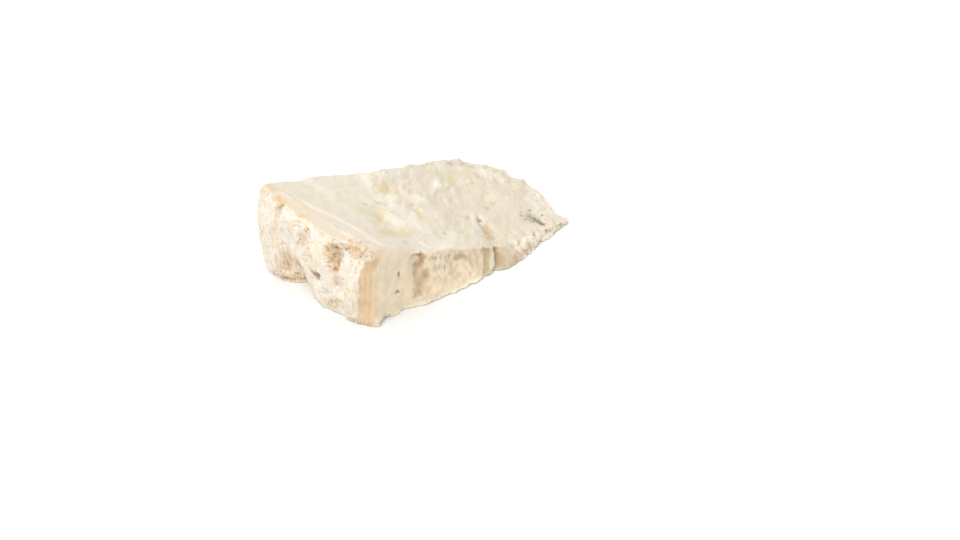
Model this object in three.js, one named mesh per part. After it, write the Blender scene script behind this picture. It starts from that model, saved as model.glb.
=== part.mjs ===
// A wedge of soft blue cheese lying on one of its cut faces. Millimetres.
// X runs from the outer rind to the thin end, Y from the split face to the wheel's flat rind,
// Z up from the surface that the wedge lies on. The origin is the middle of the underside.
import * as THREE from "three";

// The box that is bent into the wedge.
const LENGTH = 162; // outer rind to the thin end
const DEPTH = 88; // half of the wheel's height
const HEIGHT = 55; // at the rind, before the crests below set it
const EDGE_RADIUS = 3.5;
const ORIGIN = { x: 76.2, y: 39.9 }; // middle of the underside, from the split face's corner

// Steps of the lattice along the box, and how much closer they lie at its ends.
const STEPS = { x: 60, y: 32, z: 20 };
const CROWDING = 0.35;

// Height of the upper cut face over x, along the split face and along the flat rind.
const FRONT_CREST = [[-8, 50.5], [2, 50], [15, 47], [42, 33], [68, 22], [94, 12], [123, 7], [162, 2.6]];
const BACK_CREST = [
  [-8, 60], [6, 55], [20, 50], [29, 48.8], [59, 40.3],
  [96, 29.2], [120, 22.3], [138, 17.8], [150, 13], [166, 8],
];

// Plan of the sides. The split face's foot and toe lie over x; the outer rind's foot and brow, and
// the thin end, over y. The foot fades out at a share of the height, and the toe at a height.
const CORNER_CUT = { depth: 7, from: -4, to: 3 };
const FRONT_FOOT = {
  fade: 0.9,
  plan: [
    [24, 0.5], [30, -1.6], [38, -4.4], [50, -5.6], [62, -6.4], [76, -7],
    [84, -7.6], [92, -10.4], [102, -10.4], [121, -4.5], [145, -1], [162, 0],
  ],
};
const TOE = {
  height: 8,
  plan: [[-4, -1], [2, -2.5], [6, -1.5], [10, 1.5], [18, -0.5], [25, 0.5], [33, 0]],
};
const RIND_FOOT = [[0, -4], [11, -4.6], [25, -6], [44, -4.8], [57, 0.5], [67, -6], [76, -8], [88, -6.5]];
const RIND_BROW = [
  [0, 0], [4, 0], [9, -1], [17, -5], [26, -7],
  [46, -8], [60, -8.5], [72, -8.5], [82, -7], [88, -5.5],
];
const RIND_BELLY = 2.5;
const THIN_END = {
  from: 0.45,
  plan: [
    [0, 156.5], [6, 153], [17, 156.3], [28, 160.5], [34, 164.5],
    [42, 162.5], [60, 160.5], [68, 156], [77, 151], [88, 140],
  ],
};
const FLAT_RIND_TAPER = { depth: 4, from: 10, to: 60 };
const FLAT_RIND_BELLY = 1.5;
const UNDERCUT = { depth: 1, height: 4 };

// Relief of the upper face: the lip where the paste meets the rind's cut edge, the drop outside it,
// torn lumps, a crack that is shallower near the split face, and a shoulder that rounds over to it.
const LIP = {
  rise: 0.7,
  width: 2.2,
  fadeFrom: 72,
  fadeTo: 80,
  plan: [
    [0, 12], [5, 7.5], [11, 4.5], [17, 2.5], [25, 1], [34, 0.7],
    [43, 0.5], [51, 0], [60, 0], [70, -1.5], [88, -3],
  ],
};
const RIND_EDGE = { drop: 2.5, width: 9, shallower: 0.7, from: 66, to: 84 };
const TORN = { blend: 8, plan: [[0, 30], [30, 36], [60, 48], [88, 62]] };
const LUMPS = { across: 20, up: 11, rise: 1.2, seed: 1 };
const SMALL_LUMPS = { across: 9.5, up: 5.5, rise: 0.4, seed: 2 };
const CRACK = {
  depth: 1.8,
  width: 1.8,
  least: 0.35,
  deepFrom: 12,
  deepTo: 20,
  fadeFrom: 24,
  fadeTo: 32,
  plan: [
    [-4, 95.5], [1.5, 96.5], [6.4, 98.7], [10, 100.3], [15, 101],
    [21, 102], [24, 104], [27, 106.4], [36, 110],
  ],
};
const SHOULDER = { drop: 2.2, yFrom: -8, yTo: 12, xFrom: 94, xTo: 106 };
const TOP_HOLLOWS = [
  { at: [40, 38.5], size: [6, 6], depth: 1.1 },
  { at: [33, 20], size: [9, 5], depth: 0.8 },
  { at: [69, 63.5], size: [8, 6], depth: 1.2 },
  { at: [71, 42], size: [4, 7], depth: 1.3 },
  { at: [118, 61], size: [8, 6], depth: 1.2 },
  { at: [101.5, 14], size: [3.5, 5.5], depth: 1.3 },
  { at: [98.5, 4], size: [3, 5], depth: 0.8 },
  { at: [99, 29.4], size: [3, 3], depth: 0.8 },
  { at: [140, 12], size: [5, 9], depth: 1.2 },
  { at: [-7, 68], size: [4, 4], depth: 2.6 },
  { at: [70, 86], size: [3, 4], depth: 1.6 },
];

// Relief of the outer rind, over y and z: wrinkles, a fold that reaches the foot, and hollows.
const WRINKLES = { across: 7, up: 13, rise: 1.3, seed: 3 };
const SMALL_WRINKLES = { across: 5, up: 5, rise: 0.6, seed: 4 };
const FOLD = {
  depth: 3.2,
  width: 3.2,
  fadeFrom: 12,
  fadeTo: 50,
  plan: [[0, 58.5], [6, 60.6], [13, 61.6], [22, 62.5], [28, 64], [42, 66], [55, 67]],
};
const RIND_HOLLOWS = [
  { at: [22, 47], size: [6.5, 6], depth: 2.8 },
  { at: [21, 38], size: [3.5, 8], depth: 2.8 },
  { at: [10, 51], size: [7, 3], depth: 1.6 },
  { at: [46, 43], size: [5, 7], depth: 1.6 },
  { at: [38, 20], size: [3, 3], depth: 1.6 },
  { at: [25, 6], size: [5, 4], depth: 1.8 },
  { at: [68, 10], size: [6, 8], depth: 1.4 },
];
const RIND_SWELLS = [
  { at: [44, 28], size: [12, 16], depth: -2 },
  { at: [9, 26], size: [5, 18], depth: -1.2 },
  { at: [77, 30], size: [8, 18], depth: -1.2 },
];

// Relief of the split face, over x and z: lumps, lower on its smooth end, hollows, and grooves that
// rise from the foot.
const FRONT_LUMPS = { across: 9, up: 9, rise: 1.3, seed: 5 };
const FRONT_TORN = { least: 0.3, from: 26, to: 38 };
const FRONT_HOLLOWS = [
  { at: [33.5, 24], size: [4.5, 10], depth: 2.6 },
  { at: [34, 32], size: [5, 2.5], depth: 1.6 },
  { at: [40, 12], size: [6, 5], depth: 1.6 },
  { at: [62, 12], size: [14, 6], depth: 1.4 },
];
const FRONT_GROOVES = [
  { depth: 1.2, width: 2, plan: [[0, 79], [5, 82.1], [9.7, 86], [14, 86.6]] },
  { depth: 2.2, width: 2.2, plan: [[0, 87.5], [1.7, 89.1], [5.5, 93], [8.8, 95.5], [12, 96.5]] },
];

// Relief of the flat rind, over x and z, and of the thin end, over y and z.
const FLAT_WAVES = { across: 16, up: 12, rise: 0.9, seed: 6 };
const FLAT_WRINKLES = { across: 6, up: 6, rise: 0.5, seed: 7 };
const END_WAVES = { across: 9, up: 20, rise: 1.6, seed: 8 };
const END_TEARS = { across: 4, up: 10, rise: 0.8, seed: 9 };

// The upper face's relief is full where the wedge is this tall. A side's relief fades out over
// this depth.
const FULL_RELIEF_HEIGHT = 14;
const RELIEF_DEPTH = 26;

// Multipliers of the fixed draws.
const DRAW = { i: 127.1, j: 311.7, seed: 74.7, gain: 43758.5453 };

const CHEESE_COLOUR = 0xf2e6cf;
const CHEESE_ROUGHNESS = 0.55;

// 0 below lo, 1 above hi, smooth between.
function smooth(lo, hi, value) {
  return THREE.MathUtils.smoothstep(value, lo, hi);
}

function bell(distance) {
  return Math.exp(-distance * distance);
}

// A smooth curve through points [position, value]: cubic Hermite, slopes from the neighbours.
function along(points, position) {
  const last = points.length - 1;
  const at = THREE.MathUtils.clamp(position, points[0][0], points[last][0]);
  let i = 0;
  while (i < last - 1 && points[i + 1][0] <= at) i += 1;
  const slope = (k) => {
    const [before, after] = [points[Math.max(k - 1, 0)], points[Math.min(k + 1, last)]];
    return (after[1] - before[1]) / (after[0] - before[0]);
  };
  const step = points[i + 1][0] - points[i][0];
  const t = (at - points[i][0]) / step;
  const rest = 1 - t;
  return (1 + 2 * t) * rest * rest * points[i][1] + t * rest * rest * step * slope(i)
    + t * t * (3 - 2 * t) * points[i + 1][1] - t * t * rest * step * slope(i + 1);
}

// A fixed draw from 0 to 1 for each whole-number cell.
function draw(i, j, seed) {
  const value = Math.sin(i * DRAW.i + j * DRAW.j + seed * DRAW.seed) * DRAW.gain;
  return value - Math.floor(value);
}

// Smooth noise from -1 to 1 with one lump to each unit cell.
function noise(u, v, seed) {
  const [i, j] = [Math.floor(u), Math.floor(v)];
  const [s, t] = [smooth(0, 1, u - i), smooth(0, 1, v - j)];
  const low = THREE.MathUtils.lerp(draw(i, j, seed), draw(i + 1, j, seed), s);
  const high = THREE.MathUtils.lerp(draw(i, j + 1, seed), draw(i + 1, j + 1, seed), s);
  return 2 * THREE.MathUtils.lerp(low, high, t) - 1;
}

// Noise of a given size and rise at (u, v).
function waves({ across, up, rise, seed }, u, v) {
  return rise * noise(u / across, v / up, seed);
}

// Total depth of the hollows in a list at (u, v).
function sink(hollows, u, v) {
  return hollows.reduce((total, { at, size, depth }) => (
    total + depth * bell(Math.hypot((u - at[0]) / size[0], (v - at[1]) / size[1]))
  ), 0);
}

// The box with its upright and upper edges rounded: where a lattice point of its skin goes.
function roundBox(point) {
  const low = new THREE.Vector3(EDGE_RADIUS, EDGE_RADIUS, -HEIGHT);
  const high = new THREE.Vector3(LENGTH, DEPTH, HEIGHT).subScalar(EDGE_RADIUS);
  const inner = point.clone().clamp(low, high);
  const out = point.clone().sub(inner).normalize();
  return inner.addScaledVector(out, EDGE_RADIUS);
}

// Height of the upper face before its relief.
function crestAt(x, y) {
  return THREE.MathUtils.lerp(along(FRONT_CREST, x), along(BACK_CREST, x), y / DEPTH);
}

// The rounded box bent into the wedge: each side moved to its plan by an amount that fades across
// the box, and heights scaled to the crest.
function bend({ x: boxX, y: boxY, z: boxZ }) {
  const [a, b, c] = [boxX / LENGTH, boxY / DEPTH, boxZ / HEIGHT];
  const belly = Math.sin(Math.PI * c);
  const tuck = UNDERCUT.depth * (1 - smooth(0, UNDERCUT.height, boxZ));
  const rise = smooth(0, 1, c);
  const rind = THREE.MathUtils.lerp(along(RIND_FOOT, boxY), along(RIND_BROW, boxY), rise)
    - RIND_BELLY * belly + tuck;
  const end = (along(THIN_END.plan, boxY) - LENGTH) * smooth(THIN_END.from, 1, a);
  const x = boxX + rind * (1 - a) ** 3 + end;
  const rounded = smooth(SHOULDER.xFrom, SHOULDER.xTo, x);
  const foot = THREE.MathUtils.lerp(1 - smooth(0, FRONT_FOOT.fade, c), 1 - c * c, rounded);
  const front = CORNER_CUT.depth * (1 - smooth(CORNER_CUT.from, CORNER_CUT.to, x))
    + along(FRONT_FOOT.plan, x) * foot
    + along(TOE.plan, x) * (1 - smooth(0, TOE.height, boxZ)) + tuck;
  const taper = FLAT_RIND_TAPER.depth * smooth(FLAT_RIND_TAPER.from, FLAT_RIND_TAPER.to, x);
  const back = FLAT_RIND_BELLY * belly - taper - tuck;
  const y = boxY + front * (1 - b) ** 3 + back * b ** 3;
  return new THREE.Vector3(x, y, c * crestAt(x, y));
}

function topRelief(x, y) {
  const fromLip = x - along(LIP.plan, y);
  const lip = LIP.rise * bell(fromLip / LIP.width) * (1 - smooth(LIP.fadeFrom, LIP.fadeTo, y));
  const edgeDrop = RIND_EDGE.drop * smooth(0, RIND_EDGE.width, -fromLip)
    * (1 - RIND_EDGE.shallower * smooth(RIND_EDGE.from, RIND_EDGE.to, y));
  const tornStart = along(TORN.plan, y);
  const torn = smooth(tornStart - TORN.blend, tornStart + TORN.blend, x);
  const lumps = torn * (waves(LUMPS, x, y) + waves(SMALL_LUMPS, x, y));
  const open = THREE.MathUtils.lerp(CRACK.least, 1, smooth(CRACK.deepFrom, CRACK.deepTo, y))
    * (1 - smooth(CRACK.fadeFrom, CRACK.fadeTo, y));
  const crack = CRACK.depth * open * bell((x - along(CRACK.plan, y)) / CRACK.width);
  const shoulder = SHOULDER.drop * (1 - smooth(SHOULDER.yFrom, SHOULDER.yTo, y))
    * smooth(SHOULDER.xFrom, SHOULDER.xTo, x);
  const total = lip - edgeDrop + lumps - crack - shoulder - sink(TOP_HOLLOWS, x, y);
  return total * smooth(0, FULL_RELIEF_HEIGHT, crestAt(x, y));
}

function rindRelief(y, z) {
  const fold = FOLD.depth * bell((y - along(FOLD.plan, z)) / FOLD.width)
    * (1 - smooth(FOLD.fadeFrom, FOLD.fadeTo, z));
  const wrinkles = waves(WRINKLES, y, z) + waves(SMALL_WRINKLES, y, z);
  return wrinkles - fold - sink(RIND_HOLLOWS, y, z) - sink(RIND_SWELLS, y, z);
}

function frontRelief(x, z) {
  const torn = THREE.MathUtils.lerp(FRONT_TORN.least, 1, smooth(FRONT_TORN.from, FRONT_TORN.to, x));
  const grooves = FRONT_GROOVES.reduce((total, { depth, width, plan }) => (
    total + depth * bell((x - along(plan, z)) / width)
  ), 0);
  return torn * waves(FRONT_LUMPS, x, z) - sink(FRONT_HOLLOWS, x, z) - grooves;
}

function flatRindRelief(x, z) {
  return waves(FLAT_WAVES, x, z) + waves(FLAT_WRINKLES, x, z);
}

function thinEndRelief(y, z) {
  return waves(END_WAVES, y, z) + waves(END_TEARS, y, z);
}

// A point of the rounded box, bent and then moved by the relief of the sides that it lies near.
function shape(box) {
  const { x, y, z } = bend(box);
  const near = (distance) => 1 - smooth(0, RELIEF_DEPTH, distance);
  return new THREE.Vector3(
    x - near(box.x) * rindRelief(y, z) + near(LENGTH - box.x) * thinEndRelief(y, z),
    y - near(box.y) * frontRelief(x, z) + near(DEPTH - box.y) * flatRindRelief(x, z),
    z + (box.z / HEIGHT) * topRelief(x, y),
  );
}

// Lattice points of the box's upright and upper sides, each side's quads wound outwards.
function makeLattice() {
  const points = [];
  const numbers = new Map();
  const spaced = (step, steps) => {
    const t = step / steps;
    return t - CROWDING * Math.sin(2 * Math.PI * t) / (2 * Math.PI);
  };
  const number = (i, j, k) => {
    const key = `${i},${j},${k}`;
    if (!numbers.has(key)) {
      numbers.set(key, points.length);
      const share = new THREE.Vector3(spaced(i, STEPS.x), spaced(j, STEPS.y), spaced(k, STEPS.z));
      points.push(share.multiply(new THREE.Vector3(LENGTH, DEPTH, HEIGHT)));
    }
    return numbers.get(key);
  };
  const triangles = [];
  const side = (columns, rows, corner) => {
    for (let u = 0; u < columns; u += 1) {
      for (let v = 0; v < rows; v += 1) {
        const [p, q, r, s] = [corner(u, v), corner(u + 1, v), corner(u + 1, v + 1), corner(u, v + 1)];
        triangles.push(p, q, r, p, r, s);
      }
    }
  };
  side(STEPS.x, STEPS.y, (u, v) => number(u, v, STEPS.z));
  side(STEPS.x, STEPS.z, (u, v) => number(u, 0, v));
  side(STEPS.z, STEPS.x, (u, v) => number(v, STEPS.y, u));
  side(STEPS.z, STEPS.y, (u, v) => number(0, v, u));
  side(STEPS.y, STEPS.z, (u, v) => number(STEPS.x, u, v));
  const foot = [];
  for (let i = 0; i < STEPS.x; i += 1) foot.push(number(i, 0, 0));
  for (let j = 0; j < STEPS.y; j += 1) foot.push(number(STEPS.x, j, 0));
  for (let i = STEPS.x; i > 0; i -= 1) foot.push(number(i, STEPS.y, 0));
  for (let j = STEPS.y; j > 0; j -= 1) foot.push(number(0, j, 0));
  return { points, triangles, foot };
}

function makeWedge() {
  const { points, triangles, foot } = makeLattice();
  const places = points.map((point) => shape(roundBox(point)));
  const outline = foot.map((n) => new THREE.Vector2(places[n].x, places[n].y));
  const underside = THREE.ShapeUtils.triangulateShape(outline, []);
  const geometry = new THREE.BufferGeometry().setFromPoints(places);
  geometry.setIndex(triangles.concat(underside.flatMap(([p, q, r]) => [foot[p], foot[r], foot[q]])));
  geometry.computeVertexNormals();
  return geometry.translate(-ORIGIN.x, -ORIGIN.y, 0);
}

const wedge = new THREE.Mesh(
  makeWedge(),
  new THREE.MeshStandardMaterial({ color: CHEESE_COLOUR, roughness: CHEESE_ROUGHNESS }),
);
wedge.name = "cheese_wedge";

const cheese = new THREE.Group();
cheese.name = "blue_cheese_wedge";
cheese.add(wedge);

export default cheese;
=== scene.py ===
"""Blue cheese wedge: a soft wedge of blue cheese lying on a cut face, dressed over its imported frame.

Laid out as a Blender add-on and run as a script. Shapes are worked out in millimetres in the
wedge's own axes (X from the outer rind to the thin end, Y from the split face to the wheel's flat
rind, Z up, zero at the split face's corner) and put into the frame in metres.
"""

import itertools
import math

import bpy
import numpy as np
from bpy.props import FloatProperty, FloatVectorProperty, IntProperty, PointerProperty
from bpy.types import Operator, Panel, PropertyGroup
from mathutils import Matrix, Vector


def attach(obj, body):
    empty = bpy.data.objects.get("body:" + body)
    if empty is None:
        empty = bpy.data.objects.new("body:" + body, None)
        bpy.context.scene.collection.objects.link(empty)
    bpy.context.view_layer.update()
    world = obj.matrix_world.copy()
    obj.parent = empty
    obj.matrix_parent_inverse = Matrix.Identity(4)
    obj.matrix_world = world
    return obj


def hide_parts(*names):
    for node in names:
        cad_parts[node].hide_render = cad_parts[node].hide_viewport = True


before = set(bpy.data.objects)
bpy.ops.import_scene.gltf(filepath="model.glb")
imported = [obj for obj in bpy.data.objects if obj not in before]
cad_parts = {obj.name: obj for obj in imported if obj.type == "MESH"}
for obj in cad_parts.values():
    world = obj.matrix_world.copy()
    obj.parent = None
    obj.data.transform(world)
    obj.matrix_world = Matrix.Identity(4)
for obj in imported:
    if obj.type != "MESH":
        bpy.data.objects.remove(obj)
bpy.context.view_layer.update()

bl_info = {
    "name": "Blue Cheese Wedge",
    "version": (1, 0, 0),
    "blender": (4, 5, 0),
    "location": "3D View > Sidebar > Cheese",
    "description": "Builds a wedge of soft blue cheese with its rind, torn paste and crumbs",
    "category": "Add Mesh",
}

NODE = "cheese_wedge"
MM = 0.001

# ---- The wedge's form, in millimetres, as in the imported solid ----

# The box that is bent into the wedge, how far its edges are rounded, the frame's origin in it, and how
# much the mesh crowds towards its edges.
BOX = np.array([162.0, 88.0, 55.0])
LENGTH, DEPTH, HEIGHT = BOX
EDGE_RADIUS = 3.5
ORIGIN = np.array([76.2, 39.9, 0.0])
CROWDING = 0.25

# Height of the upper cut face over x, along the split face and along the flat rind.
FRONT_CREST = [(-8, 50.5), (2, 50), (15, 47), (42, 33), (68, 22), (94, 12), (123, 7), (162, 2.6)]
BACK_CREST = [
    (-8, 60), (6, 55), (20, 50), (29, 48.8), (59, 40.3), (96, 29.2), (120, 22.3),
    (138, 17.8), (150, 13), (166, 8),
]
# Plan of the sides: the split face's foot and toe over x; the outer rind's foot and brow, and the
# thin end, over y.
CORNER_CUT, CORNER_X = 7.0, (-4, 3)
FRONT_FOOT = [
    (24, 0.5), (30, -1.6), (38, -4.4), (50, -5.6), (62, -6.4), (76, -7),
    (84, -7.6), (92, -10.4), (102, -10.4), (121, -4.5), (145, -1), (162, 0),
]
FRONT_FOOT_FADE = 0.9
TOE_HEIGHT = 8.0
TOE = [(-4, -1), (2, -2.5), (6, -1.5), (10, 1.5), (18, -0.5), (25, 0.5), (33, 0)]
RIND_FOOT = [(0, -4), (11, -4.6), (25, -6), (44, -4.8), (57, 0.5), (67, -6), (76, -8), (88, -6.5)]
RIND_BROW = [
    (0, 0), (4, 0), (9, -1), (17, -5), (26, -7), (46, -8), (60, -8.5), (72, -8.5), (82, -7), (88, -5.5),
]
RIND_BELLY = 2.5
THIN_END_FROM = 0.45
THIN_END = [
    (0, 156.5), (6, 153), (17, 156.3), (28, 160.5), (34, 164.5),
    (42, 162.5), (60, 160.5), (68, 156), (77, 151), (88, 140),
]
TAPER, TAPER_X = 4.0, (10, 60)
FLAT_RIND_BELLY = 1.5
UNDERCUT, UNDERCUT_HEIGHT = 1.0, 4.0
# Relief of the upper face.
LIP = [
    (0, 12), (5, 7.5), (11, 4.5), (17, 2.5), (25, 1), (34, 0.7), (43, 0.5), (51, 0), (60, 0),
    (70, -1.5), (88, -3),
]
LIP_RISE, LIP_WIDTH, LIP_FADE_Y = 0.7, 2.2, (72, 80)
EDGE_DROP, EDGE_WIDTH, EDGE_SHALLOWER, EDGE_SHALLOW_Y = 2.5, 9.0, 0.7, (66, 84)
TORN_FROM, TORN_BLEND = [(0, 30), (30, 36), (60, 48), (88, 62)], 8.0
CRACK = [
    (-4, 95.5), (1.5, 96.5), (6.4, 98.7), (10, 100.3), (15, 101), (21, 102), (24, 104),
    (27, 106.4), (36, 110),
]
CRACK_DEPTH, CRACK_WIDTH, CRACK_LEAST = 1.8, 1.8, 0.35
CRACK_DEEP_Y, CRACK_FADE_Y = (12, 20), (24, 32)
SHOULDER_DROP, SHOULDER_Y, SHOULDER_X = 2.2, (-8, 12), (94, 106)
# Waves: size across, size up, rise and seed. Hollows: place, half width, half height and depth.
LUMPS, SMALL_LUMPS = (20, 11, 1.2, 1), (9.5, 5.5, 0.4, 2)
TOP_HOLLOWS = [
    (40, 38.5, 6, 6, 1.1), (33, 20, 9, 5, 0.8), (69, 63.5, 8, 6, 1.2), (71, 42, 4, 7, 1.3),
    (118, 61, 8, 6, 1.2), (101.5, 14, 3.5, 5.5, 1.3), (98.5, 4, 3, 5, 0.8), (99, 29.4, 3, 3, 0.8),
    (140, 12, 5, 9, 1.2), (-7, 68, 4, 4, 2.6), (70, 86, 3, 4, 1.6),
]
# Relief of the outer rind.
WRINKLES, SMALL_WRINKLES = (7, 13, 1.3, 3), (5, 5, 0.6, 4)
FOLD = [(0, 58.5), (6, 60.6), (13, 61.6), (22, 62.5), (28, 64), (42, 66), (55, 67)]
FOLD_DEPTH, FOLD_WIDTH, FOLD_FADE_Z = 3.2, 3.2, (12, 50)
RIND_HOLLOWS = [
    (22, 47, 6.5, 6, 2.8), (21, 38, 3.5, 8, 2.8), (10, 51, 7, 3, 1.6), (46, 43, 5, 7, 1.6),
    (38, 20, 3, 3, 1.6), (25, 6, 5, 4, 1.8), (68, 10, 6, 8, 1.4),
]
RIND_SWELLS = [(44, 28, 12, 16, -2), (9, 26, 5, 18, -1.2), (77, 30, 8, 18, -1.2)]
# Relief of the split face, the flat rind and the thin end.
FRONT_LUMPS, FRONT_TORN_LEAST, FRONT_TORN_X = (9, 9, 1.3, 5), 0.3, (26, 38)
FRONT_HOLLOWS = [(33.5, 24, 4.5, 10, 2.6), (34, 32, 5, 2.5, 1.6), (40, 12, 6, 5, 1.6), (62, 12, 14, 6, 1.4)]
FRONT_GROOVES = [
    ([(0, 79), (5, 82.1), (9.7, 86), (14, 86.6)], 1.2, 2.0),
    ([(0, 87.5), (1.7, 89.1), (5.5, 93), (8.8, 95.5), (12, 96.5)], 2.2, 2.2),
]
FLAT_WAVES, FLAT_WRINKLES = (16, 12, 0.9, 6), (6, 6, 0.5, 7)
END_WAVES, END_TEARS = (9, 20, 1.6, 8), (4, 10, 0.8, 9)
# Height of the crest from which the upper face's relief is full, and how deep the sides' relief reaches.
FULL_RELIEF_HEIGHT = 14.0
RELIEF_DEPTH = 26.0


def smooth(low, high, value):
    """0 below low, 1 above high, and between them 3t^2 - 2t^3 of the share t of the way."""
    share = np.clip((value - low) / (high - low), 0.0, 1.0)
    return share * share * (3.0 - 2.0 * share)


def fade(low, high, value):
    """The other way round: 1 below low, 0 above high."""
    return 1.0 - smooth(low, high, value)


def bell(distance):
    """The bell curve e^(-d^2)."""
    return np.exp(-distance * distance)


def along(points, position):
    """A smooth curve through (position, value) points: cubic Hermite, slopes from the neighbours."""
    at, value = np.array(points, float).T
    order = np.arange(len(at))
    before, after = np.maximum(order - 1, 0), np.minimum(order + 1, len(at) - 1)
    slope = (value[after] - value[before]) / (at[after] - at[before])
    position = np.clip(position, at[0], at[-1])
    i = np.clip(np.searchsorted(at, position, side="right") - 1, 0, len(at) - 2)
    step = at[i + 1] - at[i]
    t = (position - at[i]) / step
    rest = 1.0 - t
    start = (1.0 + 2.0 * t) * rest**2 * value[i] + t * rest**2 * step * slope[i]
    end = t**2 * (3.0 - 2.0 * t) * value[i + 1] - t**2 * rest * step * slope[i + 1]
    return start + end


def draw(i, j, seed):
    """A fixed draw from 0 to 1 for each whole-number cell: the fraction of a large sine."""
    value = np.sin(i * 127.1 + j * 311.7 + seed * 74.7) * 43758.5453
    return value - np.floor(value)


def noise(u, v, seed):
    """Smooth noise from -1 to 1: draws at whole-number corners, blended across each cell."""
    i, j = np.floor(u), np.floor(v)
    s, t = smooth(0.0, 1.0, u - i), smooth(0.0, 1.0, v - j)
    low = draw(i, j, seed) * (1 - s) + draw(i + 1, j, seed) * s
    high = draw(i, j + 1, seed) * (1 - s) + draw(i + 1, j + 1, seed) * s
    return 2.0 * (low * (1 - t) + high * t) - 1.0


def neighbours(u, v, seed):
    """For each of the nine cells round (u, v), the way to its one drawn point and the point's draw."""
    i, j = np.floor(u), np.floor(v)
    for di, dj in itertools.product((-1, 0, 1), repeat=2):
        cell = i + di, j + dj
        yield cell[0] + draw(*cell, seed) - u, cell[1] + draw(*cell, seed + 5) - v, draw(*cell, seed + 9)


def cells(u, v, seed):
    """Distance to the nearest drawn point, and that point's own draw."""
    nearest, own = np.full(np.shape(u), 9.0), np.zeros(np.shape(u))
    for away_u, away_v, drawn in neighbours(u, v, seed):
        distance = np.hypot(away_u, away_v)
        own = np.where(distance < nearest, drawn, own)
        nearest = np.minimum(distance, nearest)
    return nearest, own


def bent(u, v, size, far, seed):
    """The coordinates moved by slow noise, so that what is drawn with them wanders."""
    return u + far * noise(u / size, v / size, seed), v + far * noise(u / size, v / size, seed + 1)


def waves(form, u, v):
    """Noise of a given size across and up, rise and seed."""
    across, up, rise, seed = form
    return rise * noise(u / across, v / up, seed)


def sink(hollows, u, v):
    """Total depth of bell-shaped hollows at (u, v)."""
    return sum(
        depth * bell(np.hypot((u - at_u) / half_u, (v - at_v) / half_v))
        for at_u, at_v, half_u, half_v, depth in hollows
    )


def round_box(point):
    """The box with its upright and upper edges rounded: clamp into the inner box, then step out
    from there by the radius."""
    low = np.array([EDGE_RADIUS, EDGE_RADIUS, -HEIGHT])
    inner = np.clip(point, low, BOX - EDGE_RADIUS)
    out = point - inner
    return inner + EDGE_RADIUS * out / np.linalg.norm(out, axis=1, keepdims=True)


def crest_at(x, y):
    """Height of the upper face before its relief: straight across from front crest to back crest."""
    share = y / DEPTH
    return along(FRONT_CREST, x) * (1 - share) + along(BACK_CREST, x) * share


def bend(box):
    """The rounded box bent into the wedge: each side moved to its plan curve by an amount that
    fades across the box, and heights scaled to the crest."""
    box_x, box_y, box_z = box.T
    a, b, c = box_x / LENGTH, box_y / DEPTH, box_z / HEIGHT
    belly = np.sin(np.pi * c)
    tuck = UNDERCUT * fade(0, UNDERCUT_HEIGHT, box_z)
    rise = smooth(0, 1, c)
    rind = along(RIND_FOOT, box_y) * (1 - rise) + along(RIND_BROW, box_y) * rise
    rind = rind - RIND_BELLY * belly + tuck
    x = box_x + rind * (1 - a) ** 3 + (along(THIN_END, box_y) - LENGTH) * smooth(THIN_END_FROM, 1, a)
    rounded = smooth(*SHOULDER_X, x)
    foot = fade(0, FRONT_FOOT_FADE, c) * (1 - rounded) + (1 - c * c) * rounded
    front = CORNER_CUT * fade(*CORNER_X, x) + along(FRONT_FOOT, x) * foot
    front = front + along(TOE, x) * fade(0, TOE_HEIGHT, box_z) + tuck
    back = FLAT_RIND_BELLY * belly - TAPER * smooth(*TAPER_X, x) - tuck
    y = box_y + front * (1 - b) ** 3 + back * b**3
    return x, y, c * crest_at(x, y)


# ---- Places of what is finer than the solid: place, half width, half height and strength ----

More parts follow.
